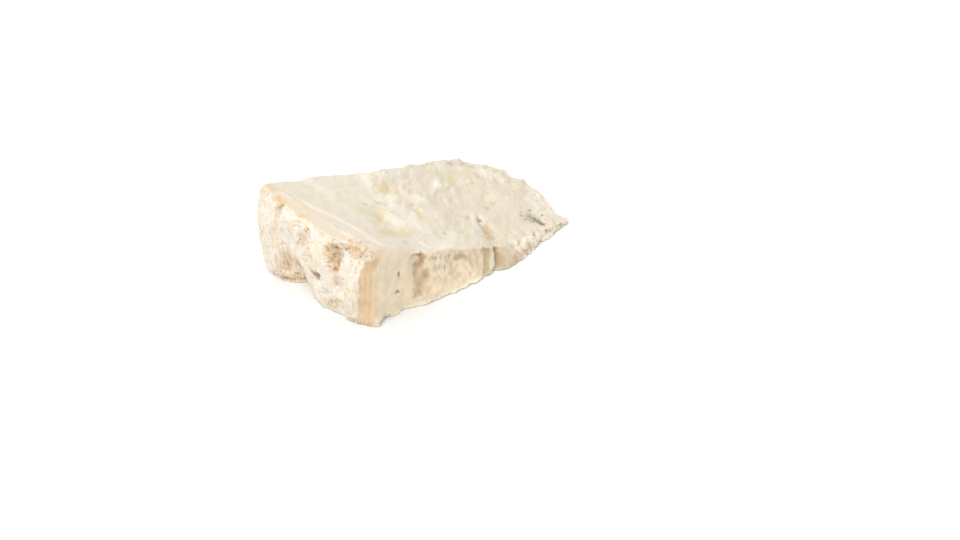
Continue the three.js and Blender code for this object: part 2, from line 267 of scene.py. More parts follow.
# On the outer rind, by (y, z).
RIND_PITS = [
    (42, 49.3, 1.2, 1.5, 0.8), (41, 38, 1, 1.2, 0.5), (34.3, 42, 0.9, 1.6, 0.4),
    (44.3, 33, 0.9, 1.3, 0.4), (51.5, 41.8, 0.8, 1, 0.7), (49, 40, 0.9, 1, 0.8),
    (47.5, 43, 0.8, 1.1, 0.7), (46.6, 38.6, 0.8, 1, 0.6), (27, 43.5, 1.3, 1.6, 0.7),
    (23.4, 44.5, 1.6, 1.4, 0.9), (24, 40, 1.2, 2.2, 0.8), (25.5, 36.8, 1.1, 1.6, 0.6),
    (22.6, 32, 1.1, 1.6, 0.9), (20.9, 47.4, 1.4, 1, 0.8), (16, 45.8, 1.2, 1.1, 0.9),
    (13.4, 48.6, 2.2, 0.8, 0.6), (8.4, 48.4, 2, 0.8, 0.6), (6.6, 45.3, 1.2, 1.4, 0.7),
    (22.3, 21.7, 0.8, 2, 0.5), (22.8, 7.2, 1.9, 1.3, 1), (18.4, 12.8, 2.2, 0.8, 0.5),
    (27, 7.5, 1.4, 1, 0.5), (8.9, 15, 0.8, 1.3, 0.35), (73, 4, 1.3, 1, 0.8), (68, 2.6, 2.2, 1.1, 0.8),
    (64.5, 6, 1.3, 1.3, 0.7), (60.5, 2.6, 2.4, 1.2, 0.9), (66.5, 14, 0.8, 2.6, 0.6),
    (64.6, 21, 0.8, 2.8, 0.5), (69.2, 10, 0.8, 2.2, 0.5), (67.8, 52.2, 1.5, 1.9, 1),
    (10, 2.5, 2.8, 1.1, 0.9), (5, 2, 2, 0.9, 0.8), (22, 36, 0.9, 2.4, 0.8), (52.6, 44, 0.9, 1, 0.6),
    # (50.6, 53.5) at the end of this line and (50, 51.3) on the next are thin lines of painted shadow under
    # the cut rind's overhanging edge.
    (50.4, 45.4, 0.8, 0.8, 0.6), (46, 41, 0.8, 0.9, 0.6), (50.6, 53.5, 4.4, 0.6, 0.5),
    (50, 51.3, 4, 0.5, 0.4), (17.5, 50.4, 1.4, 0.8, 0.8), (11.4, 50.6, 1.6, 0.8, 0.8),
    # (70.5, 2.2) and (62.5, 3.4) on this line and (57.5, 3.2) on the next darken the rind's foot: partly
    # brown pits, partly painted shade where it meets the ground.
    (5.4, 49.4, 1.6, 0.9, 0.7), (70.5, 2.2, 2, 1, 0.6), (62.5, 3.4, 1.6, 1.2, 0.6),
    (57.5, 3.2, 1.8, 1.4, 0.6), (61.6, 9, 0.7, 3, 0.6), (71.6, 6, 0.7, 2.4, 0.6),
]
RIND_CRUMBLY = [
    (24.5, 42, 4.6, 7.5, 1), (22.5, 33, 3, 4, 0.7), (14, 46.8, 7, 2.4, 0.9), (6.4, 46.5, 3, 2.4, 0.6),
    (66.5, 14, 3.5, 9, 0.3), (67, 4, 10, 3.4, 0.8), (48.3, 40.5, 4.5, 4.5, 0.8),
    (42.5, 48.5, 2.4, 2.6, 0.7), (21, 11, 5, 3, 0.6), (27, 5, 5, 3, 0.6), (40, 34, 5, 7, 0.5),
    (10, 3, 8, 3, 0.5),
]
RIND_TAN = [
    (67.6, 52.4, 3, 2.8, 0.9), (72.6, 55, 2.8, 1.6, 0.7), (64.2, 51.8, 1.8, 1.4, 0.5),
    # (50.6, 53.6) and (50, 51.2) on this line are thin lines of painted shadow under the cut rind's
    # overhanging edge.
    (81, 56.5, 5, 2.6, 0.4), (50.6, 53.6, 5, 0.8, 0.5), (50, 51.2, 4.4, 0.6, 0.4),
    (25.5, 43.5, 2.6, 3.6, 0.75), (23.6, 38.5, 2.2, 4.2, 0.75), (21.8, 33, 1.6, 3, 0.8),
    (6, 48.4, 5, 2.2, 0.5), (17, 46.4, 3.6, 1.8, 0.8), (10.5, 48, 3.6, 1.6, 0.8),
    (6.4, 45.6, 1.8, 1.6, 0.5), (20.6, 25.5, 3, 3.4, 0.35), (16.5, 24, 1.8, 2, 0.25),
    (69.7, 40, 2.6, 5, 0.2), (62.4, 13, 0.7, 5, 0.8), (64.4, 20, 0.8, 6, 0.9), (66.3, 15, 0.8, 9, 1),
    (68.3, 11.5, 0.9, 6, 0.9), (70.6, 9, 0.8, 5, 0.8), (72.8, 12, 0.7, 7, 0.6), (76.5, 9, 0.7, 5, 0.5),
    (12, 50.2, 9, 1.6, 0.45), (68, 3.2, 7.5, 2, 0.95), (19.5, 12.6, 3.5, 1, 0.6),
    (25, 8, 3.5, 2.4, 0.35), (8.9, 15, 0.7, 3, 0.4),
]
RIND_BLUSH = [
    (34.2, 24, 3.2, 3, 1), (36.6, 25.6, 2, 2.4, 0.6), (29.7, 15.4, 1.2, 4, 0.3),
    (20, 26.5, 3.4, 4, 0.32),
]
# On the split face, by (x, z).
FRONT_PITS = [
    (21.5, 26.4, 1.7, 2.5, 1), (22.2, 22.8, 0.8, 1.4, 0.5), (19.8, 14.7, 1.9, 1.7, 0.9),
    # The three flat pits at z 31 to 33 on the next line are a painted shadow line under the overhanging
    # edge above them.
    (31.8, 33.2, 1.5, 0.6, 0.9), (34.4, 32.2, 1.6, 0.6, 1), (37, 31.4, 1.8, 0.8, 1),
    (39, 31.4, 1.8, 1.9, 0.9), (38.8, 27.5, 2, 3, 0.75), (71, 5.4, 1, 1, 0.7),
    (86.2, 13.6, 0.8, 1.3, 0.7), (126.9, 5.1, 1.9, 1.5, 0.8), (135.6, 3.4, 2, 1.4, 0.8),
    (141.2, 3.2, 1.4, 1, 0.6), (54, 11.6, 0.9, 0.9, 0.4), (61.5, 14, 0.8, 0.9, 0.4),
]
# The column from (39.2, 30) down to (33, 9.5) lies in the upright hollow under an overhang: partly tan
# stain, partly painted shade.
FRONT_TAN = [
    (39.2, 30, 2.8, 4, 1), (95.2, 7, 1.8, 5, 0.95), (36.8, 25.5, 3.4, 4.4, 0.95),
    (34.8, 21, 2.2, 3.6, 0.65), (39.6, 18.5, 3.2, 4.4, 0.95), (36, 14.5, 4, 5.5, 0.7),
    (33, 9.5, 3.6, 4.2, 0.75), (39.5, 9, 3, 3, 0.4), (67, 16.8, 4.2, 2.6, 0.85),
    (71.5, 14.6, 3.6, 2.2, 0.6), (58, 11.5, 2.5, 1.8, 0.4), (51.8, 10, 2.6, 1.8, 0.35), (22, 11, 3, 4, 0.2),
    (74, 10, 2, 4, 0.3), (46, 25, 2, 1.6, 0.25), (62, 8, 5, 1.6, 0.25), (110, 3.4, 5, 1.8, 0.5),
    (118, 3, 4, 2, 0.6), (104, 2.6, 3, 1.6, 0.4), (113, 6.5, 2, 1.4, 0.3),
]
FRONT_GREY = [
    (48.7, 24.4, 1.1, 1.6, 0.9), (52.3, 24.2, 1, 1.6, 0.8), (56.4, 21.6, 0.9, 1.8, 0.6),
    (60, 19.7, 0.8, 1.6, 0.5), (63.9, 18.7, 0.9, 1.8, 0.6), (46.3, 20, 1, 1.4, 0.6),
    (50.5, 19, 0.9, 2, 0.5), (54.5, 16, 0.9, 1.8, 0.5), (64.7, 12.6, 1, 1.3, 0.5),
    (69.5, 9.2, 1, 1.2, 0.5), (74, 10, 0.9, 2.2, 0.4), (78, 8, 0.9, 1.6, 0.45), (84, 13, 0.9, 1.6, 0.9),
    (92, 2, 4, 1.6, 0.5),
]
FRONT_PALE = [(31.4, 36.2, 2.6, 1.6, 1), (34.6, 34.6, 1.6, 0.9, 0.8)]
# On the upper face, by (x, y).
# Yellowish spots lie in hollows: partly yellowish paste, partly painted shade in the hollows.
TOP_YELLOW = [
    (39.8, 38.2, 3.6, 4.4, 0.9), (41, 42, 9, 7.5, 0.5), (33, 31, 4, 7, 0.5), (32.2, 44.3, 5, 4, 0.35),
    (30, 20.6, 6, 4.6, 0.7), (36.6, 20.8, 7, 4.2, 0.8), (43, 20.4, 5.4, 4, 0.6), (23, 15.4, 4, 3, 0.3),
    (67, 65, 8, 7, 0.6), (72, 61, 5, 5, 0.5), (80, 58.2, 3, 4.5, 0.6), (71, 41, 3, 3.6, 0.75),
    (67, 34.5, 3.4, 3.6, 0.6), (119.4, 64, 4.6, 6, 0.65), (113, 67, 4, 5, 0.35), (132, 62.3, 4, 3, 0.6),
    (128.3, 44, 3.4, 4.6, 0.55), (121, 52, 8, 3, 0.3), (103.4, 45.4, 3.2, 2.6, 0.45),
    (141, 39, 5.5, 3.4, 0.5), (147, 36, 3, 3, 0.35), (118, 11, 3.4, 4, 0.4), (50, 60, 4, 3, 0.3),
    (96, 60, 5, 4, 0.25), (86, 30, 6, 4, 0.25), (102.5, 14.5, 4.2, 4.6, 0.6),
]
TOP_PALE = [
    (81, 50.3, 7, 3.4, 1), (105.8, 61.4, 6, 5, 1), (49, 31.5, 8, 3.4, 0.9), (62, 33, 3, 3, 0.4),
    (144, 66, 8, 4, 0.7), (133, 72, 5, 3, 0.5), (153, 56, 4, 5, 0.6), (156, 28, 4, 6, 0.6),
    (153, 12, 5, 4, 0.5), (56, 56, 3, 4, 0.5),
]
TOP_TAN = [
    (102.2, 17, 3.4, 3.6, 0.5), (102, 13.2, 4, 3.6, 0.62), (100.4, 9.4, 3.2, 3, 0.7),
    (98.4, 5.5, 1.6, 2.4, 0.4), (104.9, 24.4, 1, 3.2, 0.9), (102.2, 20.6, 1.2, 2, 0.6),
    (72.2, 47, 2.6, 1.6, 0.45), (70.3, 38.2, 1.2, 1.8, 0.5), (66.5, 33, 1.2, 1.2, 0.35),
    (127, 56, 7, 1.2, 0.3), (129.5, 43, 1.4, 1.4, 0.3), (99, 29.2, 2.4, 2.2, 0.3),
]
TOP_GREY = [
    (50.2, 51.4, 2.6, 1.5, 0.65), (52.5, 41.5, 2, 1.5, 0.5), (40, 51.5, 2.2, 1.8, 0.55),
    (118.4, 32.1, 2.6, 1.6, 0.45), (125.5, 33.8, 4, 1.6, 0.45), (99, 29.4, 2.5, 2.2, 0.45),
    (104.6, 24.4, 0.7, 2.2, 0.8), (70.9, 17.2, 1.4, 1.2, 1), (90, 54, 3, 1, 0.3), (131, 78, 3, 1.8, 0.6),
    (141, 77, 3, 2, 0.6), (143, 72, 5, 2.5, 0.45), (157, 54.5, 1.5, 6, 0.5), (72.5, 84.5, 3.5, 1.6, 0.8),
    (84, 85, 4, 0.8, 0.5),
]
TOP_MOULD = [
    (138.3, 6.8, 2.2, 4.4, 1), (138.4, 11.4, 1.8, 2.2, 0.85), (137.4, 14.4, 1.3, 1.4, 0.7),
    (144.4, 11.2, 0.9, 2.2, 0.55), (141.4, 14.4, 1.1, 1, 0.5), (140.8, 19.1, 1.6, 1.3, 0.6),
    (132.5, 16.6, 1.6, 1.2, 0.55), (134.8, 19, 1, 1, 0.5), (132.4, 13, 1.4, 1, 0.5),
    (137.5, 11.5, 5.5, 7, 0.48), (150.5, 14.7, 1.5, 1.2, 0.45),
]
# The outer edge of the cut rind on the upper face, as (y, x), and the soft groove inside its lip.
BAND_EDGE = [
    (0, 3), (3, 4), (8, 4.5), (12, 4), (17, 2.5), (22, -1), (26, -5), (32, -6), (38, -6), (45, -5.5),
    (50, -6), (57, -7), (66, -8), (72, -8), (78, -9), (88, -9),
]
GROOVE = [(0, 15), (4, 12.5), (13, 11), (23, 10.5), (34, 9.5), (43, 7.5), (51, 4.5), (61, 2), (70, 1)]
# The outer edge of the cut rind down the corner, as (z, x - y).
CORNER_EDGE = [
    (0, -8.4), (4, -9.8), (8, -10.6), (18, -10), (32, -8.8), (37, -7), (42, -4), (46, -2.5), (50, -1.5),
]

# How deep the finer relief reaches, and how the upper face's tears lie: turn in degrees, and stretch.
FINE_DEPTH = 5.0
TEAR_TURN, TEAR_STRETCH = 50.7, 1.4
GROOVE_WIDTH, GROOVE_FADE_Y = 1.8, (58, 70)
# The flake beside the crack: how far off its two ridges run, and where they start and end.
FLAKE_AWAY, FLAKE_START_Y, FLAKE_END_Y = (2.4, 4.8), (13, 18), (27, 32)
# Where paste is pressed out along the split face's foot.
PRESSED_START_X, PRESSED_END_X = (12, 18), (74, 82)
# Middle height of domes: lumps rise above it and sink below it.
DOME_MIDDLE = 0.55


def spots(places, u, v):
    """Strongest share of soft-edged ovals at (u, v), 0 to 1, their outlines bent by noise."""
    share = np.zeros(np.shape(u))
    stray_u, stray_v = (
        0.8 * noise(u / 3.3, v / 3.3, seed) + 0.5 * noise(u / 1.5, v / 1.5, seed + 1) for seed in (91, 93)
    )
    for at_u, at_v, half_u, half_v, strength in places:
        loose = min(1.0, min(half_u, half_v) / 2.0)
        away = np.hypot((u + loose * stray_u - at_u) / half_u, (v + loose * stray_v - at_v) / half_v)
        share = np.maximum(share, strength * fade(0.35, 1.35, away))
    return share


def drawn_out(x, y):
    """The upper face's coordinates turned and stretched, so that what is round in them is drawn out
    along the wedge's diagonal, as the paste tore."""
    sine, cosine = math.sin(math.radians(TEAR_TURN)), math.cos(math.radians(TEAR_TURN))
    return (x * cosine - y * sine) * TEAR_STRETCH, (x * sine + y * cosine) / TEAR_STRETCH


def torn_spots(places, x, y):
    """Spots of the upper face, drawn out along its tears."""
    return spots([(*drawn_out(*place[:2]), *place[2:]) for place in places], *drawn_out(x, y))


def domes(u, v, seed):
    """Lumps packed side by side, 0 in the creases to 1 on top: in each cell a dome 1 - (d / r)^2
    round a drawn point, with a drawn height and radius, and the highest of them shows."""
    highest = np.zeros(np.shape(u))
    for away_u, away_v, own in neighbours(u, v, seed):
        dome = (0.6 + 0.4 * own) * (1 - (away_u**2 + away_v**2) / (0.85 + 0.4 * own) ** 2)
        highest = np.maximum(highest, dome)
    return highest


def pits_at(u, v, cell, share, seed):
    """Small round pits: 1 at the middle of each, in the given share of the cells."""
    distance, own = cells(u / cell, v / cell, seed)
    return fade(0.12, 0.42, distance) * (own < share)


# ---- Relief, in millimetres outwards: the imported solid's own ----


def torn_share(x, y):
    """0 on the smooth end of the upper face, 1 where its paste is torn."""
    start = along(TORN_FROM, y)
    return smooth(start - TORN_BLEND, start + TORN_BLEND, x)


def crack_depth(x, y):
    """Depth of the crack that runs in from the split face: shallow at first, then opening."""
    opened = (CRACK_LEAST + (1 - CRACK_LEAST) * smooth(*CRACK_DEEP_Y, y)) * fade(*CRACK_FADE_Y, y)
    return CRACK_DEPTH * opened * bell((x - along(CRACK, y)) / CRACK_WIDTH)


def top_relief(x, y):
    """Lip of the rind, dropped rind edge, torn lumps, crack, shoulder and hollows."""
    from_lip = x - along(LIP, y)
    lip = LIP_RISE * bell(from_lip / LIP_WIDTH) * fade(*LIP_FADE_Y, y)
    shallower = 1 - EDGE_SHALLOWER * smooth(*EDGE_SHALLOW_Y, y)
    edge_drop = EDGE_DROP * smooth(0, EDGE_WIDTH, -from_lip) * shallower
    lumps = torn_share(x, y) * (waves(LUMPS, x, y) + waves(SMALL_LUMPS, x, y))
    crack = crack_depth(x, y)
    shoulder = SHOULDER_DROP * fade(*SHOULDER_Y, y) * smooth(*SHOULDER_X, x)
    relief = lip - edge_drop + lumps - crack - shoulder - sink(TOP_HOLLOWS, x, y)
    return relief * smooth(0, FULL_RELIEF_HEIGHT, crest_at(x, y))


def rind_relief(y, z):
    """Wrinkles, fold, hollows and swells of the outer rind."""
    fold = FOLD_DEPTH * bell((y - along(FOLD, z)) / FOLD_WIDTH) * fade(*FOLD_FADE_Z, z)
    wrinkles = waves(WRINKLES, y, z) + waves(SMALL_WRINKLES, y, z)
    return wrinkles - fold - sink(RIND_HOLLOWS, y, z) - sink(RIND_SWELLS, y, z)


def front_relief(x, z):
    """Lumps, hollows and grooves of the split face."""
    torn = FRONT_TORN_LEAST + (1 - FRONT_TORN_LEAST) * smooth(*FRONT_TORN_X, x)
    grooves = sum(depth * bell((x - along(plan, z)) / width) for plan, depth, width in FRONT_GROOVES)
    return torn * waves(FRONT_LUMPS, x, z) - sink(FRONT_HOLLOWS, x, z) - grooves


def flat_rind_relief(x, z):
    """Slow waves and wrinkles of the wheel's flat rind."""
    return waves(FLAT_WAVES, x, z) + waves(FLAT_WRINKLES, x, z)


def thin_end_relief(y, z):
    """Ragged broken end."""
    return waves(END_WAVES, y, z) + waves(END_TEARS, y, z)


# ---- Finer relief, in millimetres outwards ----


def cups(x, y):
    """Shallow cups among the torn paste, where yellowish shade is painted, more of them towards the back: 0
    to 1.
    """
    many = 0.12 + 0.38 * smooth(34, 64, y)
    torn = torn_share(x, y)
    x, y = drawn_out(x, y)
    bent_x, bent_y = bent(x, y, 5, 1.5, 81)
    distance, own = cells(bent_x / 8.5, bent_y / 8.5, 11)
    reach = 0.22 + 0.4 * own / many
    return fade(0.0, 1.0, distance / reach) * (own < many) * torn


def paste_lumps(x, y):
    """Soft lumps of torn paste, with finer crumbs in patches."""
    back = smooth(20, 55, y)
    x, y = drawn_out(x, y)
    bent_x, bent_y = bent(x, y, 8, 2.0, 83)
    rough = smooth(-0.3, 0.6, noise(x / 15, y / 13, 17)) * (0.4 + 0.6 * back)
    lumps = (0.2 + 0.35 * back) * noise(bent_x / 7, bent_y / 7, 12)
    lumps = lumps + (0.08 + 0.1 * back + 0.35 * rough) * noise(bent_x / 3.6, bent_y / 3.6, 18)
    return lumps + (0.04 + 0.16 * rough) * noise(x / 1.8, y / 1.8, 13)


def groove_share(x, y, start):
    """1 along the bottom of the soft groove inside the lip, from where it starts."""
    return bell((x - along(GROOVE, y)) / GROOVE_WIDTH) * fade(*GROOVE_FADE_Y, y) * smooth(*start, y)


def flake_ridges(x, y, widths, second_rise):
    """The two ridges of the flake beside the crack."""
    first, second = (bell((x - along(CRACK, y) + away) / width) for away, width in zip(FLAKE_AWAY, widths))
    return (first + second_rise * second) * smooth(*FLAKE_START_Y, y) * fade(*FLAKE_END_Y, y)


def fine_top(x, y, size):
    """Soft lumps, cups and hollows of the torn paste; groove, bank and drag marks of the smooth end;
    the lip, the flake beside the crack, whose near part is filled in, and the ragged far edges."""
    torn, from_lip = torn_share(x, y), x - along(LIP, y)
    paste = paste_lumps(x, y) - 0.6 * cups(x, y)
    bank = 0.18 * bell((x - along(GROOVE, y) - 3.5) / 2.6) * smooth(2, 10, y)
    marks = 0.12 * noise(x / 14, y / 9, 15) + 0.02 * noise(x / 4, y / 4, 14)
    marks = marks + bank - 0.35 * groove_share(x, y, (2, 10))
    lip = 0.35 * bell(from_lip / 0.9) * fade(*LIP_FADE_Y, y)
    band_marks = 0.1 * noise(from_lip / 1.2, y / 12, 16) * smooth(0, 1.5, -from_lip)
    hollows = 0.5 * torn_spots(TOP_YELLOW, x, y) - 0.4 * torn_spots(TOP_PALE, x, y)
    for depth, places in ((0.6, TOP_GREY), (0.4, TOP_MOULD), (0.4, TOP_TAN)):
        hollows = hollows + depth * spots(places, x, y)
    flake = 0.7 * flake_ridges(x, y, (0.8, 0.9), 0.8) * (0.7 + 0.4 * noise(x / 2, y / 2, 96))
    filled = 0.9 * crack_depth(x, y) * fade(17, 24, y)
    ragged = np.max([
        fade(5, 16, along(THIN_END, y) - x),
        fade(2, 9, DEPTH - y) * smooth(50, 80, x),
        fade(2, 12, y) * smooth(100, 110, x),
    ], axis=0)
    edge = 1.5 * (domes(x / 4.6, y / 4.0, 19) - DOME_MIDDLE) + 0.35 * noise(x / 1.6, y / 1.6, 20)
    fine = torn * paste + (1 - torn) * marks + edge * ragged
    return size.lump_rise * fine + lip + band_marks + flake + filled - hollows * size.pit_depth


def streaky(y):
    """1 on the two upright pillars of the rind, where its marks run up and down."""
    return np.maximum(smooth(59, 66, y), fade(8, 16, y))


def fine_rind(y, z, size):
    """Upright streaks and crumbs, coarser where the rind crumbles, and pits."""
    crumbly = spots(RIND_CRUMBLY, y, z)
    streaks = (0.3 + 0.35 * streaky(y)) * noise(y / 1.9, z / 9, 21) + 0.2 * noise(y / 1.3, z / 4, 22)
    bent_y, bent_z = bent(y, z, 3, 0.8, 87)
    crumbs = (0.45 + crumbly) * (domes(bent_y / 2.4, bent_z / 2.8, 23) - DOME_MIDDLE)
    crumbs = crumbs + (0.35 + 0.5 * crumbly) * noise(y / 1.3, z / 1.5, 24)
    pits = 0.7 * pits_at(y, z, 4.2, 0.25, 25) + 0.6 * pits_at(y, z, 2.2, 0.15 + 0.45 * crumbly, 26)
    cuts = 0.8 * spots(RIND_PITS, y, z) + 0.25 * spots(RIND_TAN, y, z)
    return (streaks + crumbs) * size.wrinkle_rise - (pits + cuts) * size.pit_depth


def upright_pits(x, z):
    """Narrow upright pits in the middle of the split face, 0 to 1."""
    region = bell((x - 60) / 16) * smooth(6, 16, z) * fade(84, 86, x) * smooth(42, 46, x)
    return smooth(0.38, 0.75, noise(x / 1.1 + 0.3 * noise(x / 3, z / 3, 46), z / 2.3, 47)) * region


def from_grooves(x, z):
    """Distances along the split face from the bottoms of its two grooves."""
    return [x - along(plan, z) + 0.5 * noise(x / 2, z / 3, 95) for plan, _, _ in FRONT_GROOVES]


def groove_walls(x, z):
    """Walls beyond each groove's bottom: stain, and painted shade of the deep cracks, darkest at the
    second's foot.
    """
    first, second = from_grooves(x, z)
    first = smooth(-1.4, -0.4, first) * fade(2.4, 3.8, first)
    second = smooth(-1.4, -0.4, second) * fade(1.4, 2.8, second)
    return 0.65 * first + second * (1.0 + 0.4 * fade(2, 7, z))


def groove_ridge(x, z):
    """Pale ridge between the two grooves."""
    first, second = from_grooves(x, z)
    return smooth(3.0, 4.4, first) * fade(-2.4, -1.2, second) * fade(11, 13, z)


def pressed_out(x):
    """1 along the split face where paste is pressed out at its foot."""
    return smooth(*PRESSED_START_X, x) * fade(*PRESSED_END_X, x)


def end_lumps(x, z):
    """Pale lumps of broken paste along the split face of the thin part, 0 to 1."""
    lumps = domes(x / 3.8 + 0.3 * noise(x / 4, z / 4, 97), z / 3, 57)
    return smooth(0.35, 0.75, lumps) * smooth(103, 112, x)


def fine_front(x, z, size):
    """Tears, marks and pits of the split face, paste pressed out at its foot, crumbs on its toe, and
    lumps of broken paste towards the thin end."""
    torn = smooth(*FRONT_TORN_X, x)
    bent_x, bent_z = bent(x, z, 6, 1.2, 85)
    tears = 0.55 * noise(bent_x / 4, bent_z / 4.6, 41) + 0.35 * noise(bent_x / 1.9, bent_z / 2.6, 42)
    marks = 0.1 * noise(x / 1.3, z / 12, 44) + 0.25 * noise(x / 5, z / 9, 45)
    pressed = 1.2 * bell((z - 0.8) / 1.3) * pressed_out(x) * (0.6 + 0.4 * noise(x / 3, 0.0 * x, 48))
    toe = 1.3 * fade(16, 24, x) * fade(3, 8, z) * (domes(x / 2.6, z / 2.4, 50) - 0.5)
    coarse = 0.8 * (domes(bent_x / 5, bent_z / 3.8, 49) - DOME_MIDDLE)
    broken = smooth(97, 105, x) * (coarse + 0.7 * (domes(x / 2.3, z / 2, 55) - 0.5)) + 0.8 * end_lumps(x, z)
    pits = spots(FRONT_PITS, x, z) + 0.5 * spots(FRONT_GREY, x, z) + 0.4 * spots(FRONT_TAN, x, z)
    pits = pits + 0.35 * upright_pits(x, z) + 0.5 * torn * pits_at(x, z, 3.0, 0.25, 43)
    return marks + torn * tears * size.lump_rise + pressed + toe + broken - pits * size.pit_depth


def fine_flat_rind(x, z, size):
    """Wrinkles, crumbs and pits of the wheel's flat rind."""
    crumbs = 0.4 * (domes(x / 2.8, z / 2.4, 52) - DOME_MIDDLE) + 0.3 * noise(x / 2.2, z / 1.8, 51)
    pits = 0.6 * pits_at(x, z, 3.8, 0.3, 53) + 0.4 * pits_at(x, z, 2.1, 0.2, 54)
    return crumbs * size.wrinkle_rise - pits * size.pit_depth


def broken_end(y, z):
    """Lumps of broken paste on the thin end, 0 to 1."""
    return domes(y / 3.6 + 0.3 * noise(y / 4, z / 4, 98), z / 2.8, 61)


def fine_thin_end(y, z, size):
    """Broken paste."""
    return size.lump_rise * (1.7 * (broken_end(y, z) - 0.6) + 0.5 * noise(y / 1.3, z / 1.2, 62))


def shape(box, size):
    """Bent points moved by the relief of each side that they lie near, fading with depth: first the
    solid's own relief, and then the finer, which fades sooner. Returns them after both and after the
    first."""
    x, y, z = bend(box)
    share_up = box[:, 2] / HEIGHT
    from_rind, from_end = box[:, 0], LENGTH - box[:, 0]
    from_front, from_back = box[:, 1], DEPTH - box[:, 1]

    def moved(depth, rind, end, front, back, top):
        return (
            x - fade(0, depth, from_rind) * rind(y, z) + fade(0, depth, from_end) * end(y, z),
            y - fade(0, depth, from_front) * front(x, z) + fade(0, depth, from_back) * back(x, z),
            z + share_up * top(x, y),
        )

    def sized(relief):
        return lambda u, v: relief(u, v, size)

    x, y, z = solid = moved(
        RELIEF_DEPTH, rind_relief, thin_end_relief, front_relief, flat_rind_relief, top_relief
    )
    height_share = smooth(0.5, 4.0, z)
    sides = [sized(relief) for relief in (fine_rind, fine_thin_end, fine_front, fine_flat_rind)]
    x, y, z = moved(FINE_DEPTH, *sides, lambda u, v: fine_top(u, v, size) * height_share)
    return np.stack([x, y, z], axis=1), solid


def lattice(steps):
    """Grid points of the box's upright and upper sides, crowded a little towards its edges, with each
    side's quads wound outwards and the ring of points round the underside, counter-clockwise from above."""
    nx, ny, nz = steps

    def number(i, j, k):
        return (i * (ny + 1) + j) * (nz + 1) + k

    def side(columns, rows, corner):
        u, v = np.meshgrid(np.arange(columns + 1), np.arange(rows + 1), indexing="ij")
        grid = corner(u, v)
        return np.stack([grid[:-1, :-1], grid[1:, :-1], grid[1:, 1:], grid[:-1, 1:]], -1).reshape(-1, 4)

    quads = np.concatenate([
        side(nx, ny, lambda u, v: number(u, v, nz)),
        side(nx, nz, lambda u, v: number(u, 0, v)),
        side(nz, nx, lambda u, v: number(v, ny, u)),
        side(nz, ny, lambda u, v: number(0, v, u)),
        side(ny, nz, lambda u, v: number(nx, u, v)),
    ])
    used, quads = np.unique(quads, return_inverse=True)
    quads = quads.reshape(-1, 4)
    whole = np.stack([used // ((nz + 1) * (ny + 1)), used // (nz + 1) % (ny + 1), used % (nz + 1)], 1)
    share = whole / np.array(steps)
    share = share - CROWDING * np.sin(2 * np.pi * share) / (2 * np.pi)
    along_x, along_y = np.arange(nx), np.arange(ny)
    ring = np.concatenate([
        number(along_x, 0, 0), number(nx, along_y, 0),
        number(nx - along_x, ny, 0), number(0, ny - along_y, 0),
    ])
    return share * BOX, quads, np.searchsorted(used, ring)


def wedge_surface(size):
    """Box points, their place on the solid's relief, the shaped points, the quads and the ring."""
    points, quads, ring = lattice((size.steps_x, size.steps_y, size.steps_z))
    box = round_box(points)
    shaped, solid = shape(box, size)
    return box, solid, shaped, quads, ring


def in_frame(points):
    """Millimetres in the wedge's own axes to metres in the frame."""
    return (points - ORIGIN) * MM


# ---- Where each finish lies: shares from 0 to 1 at each point, kept as attributes for the materials ----


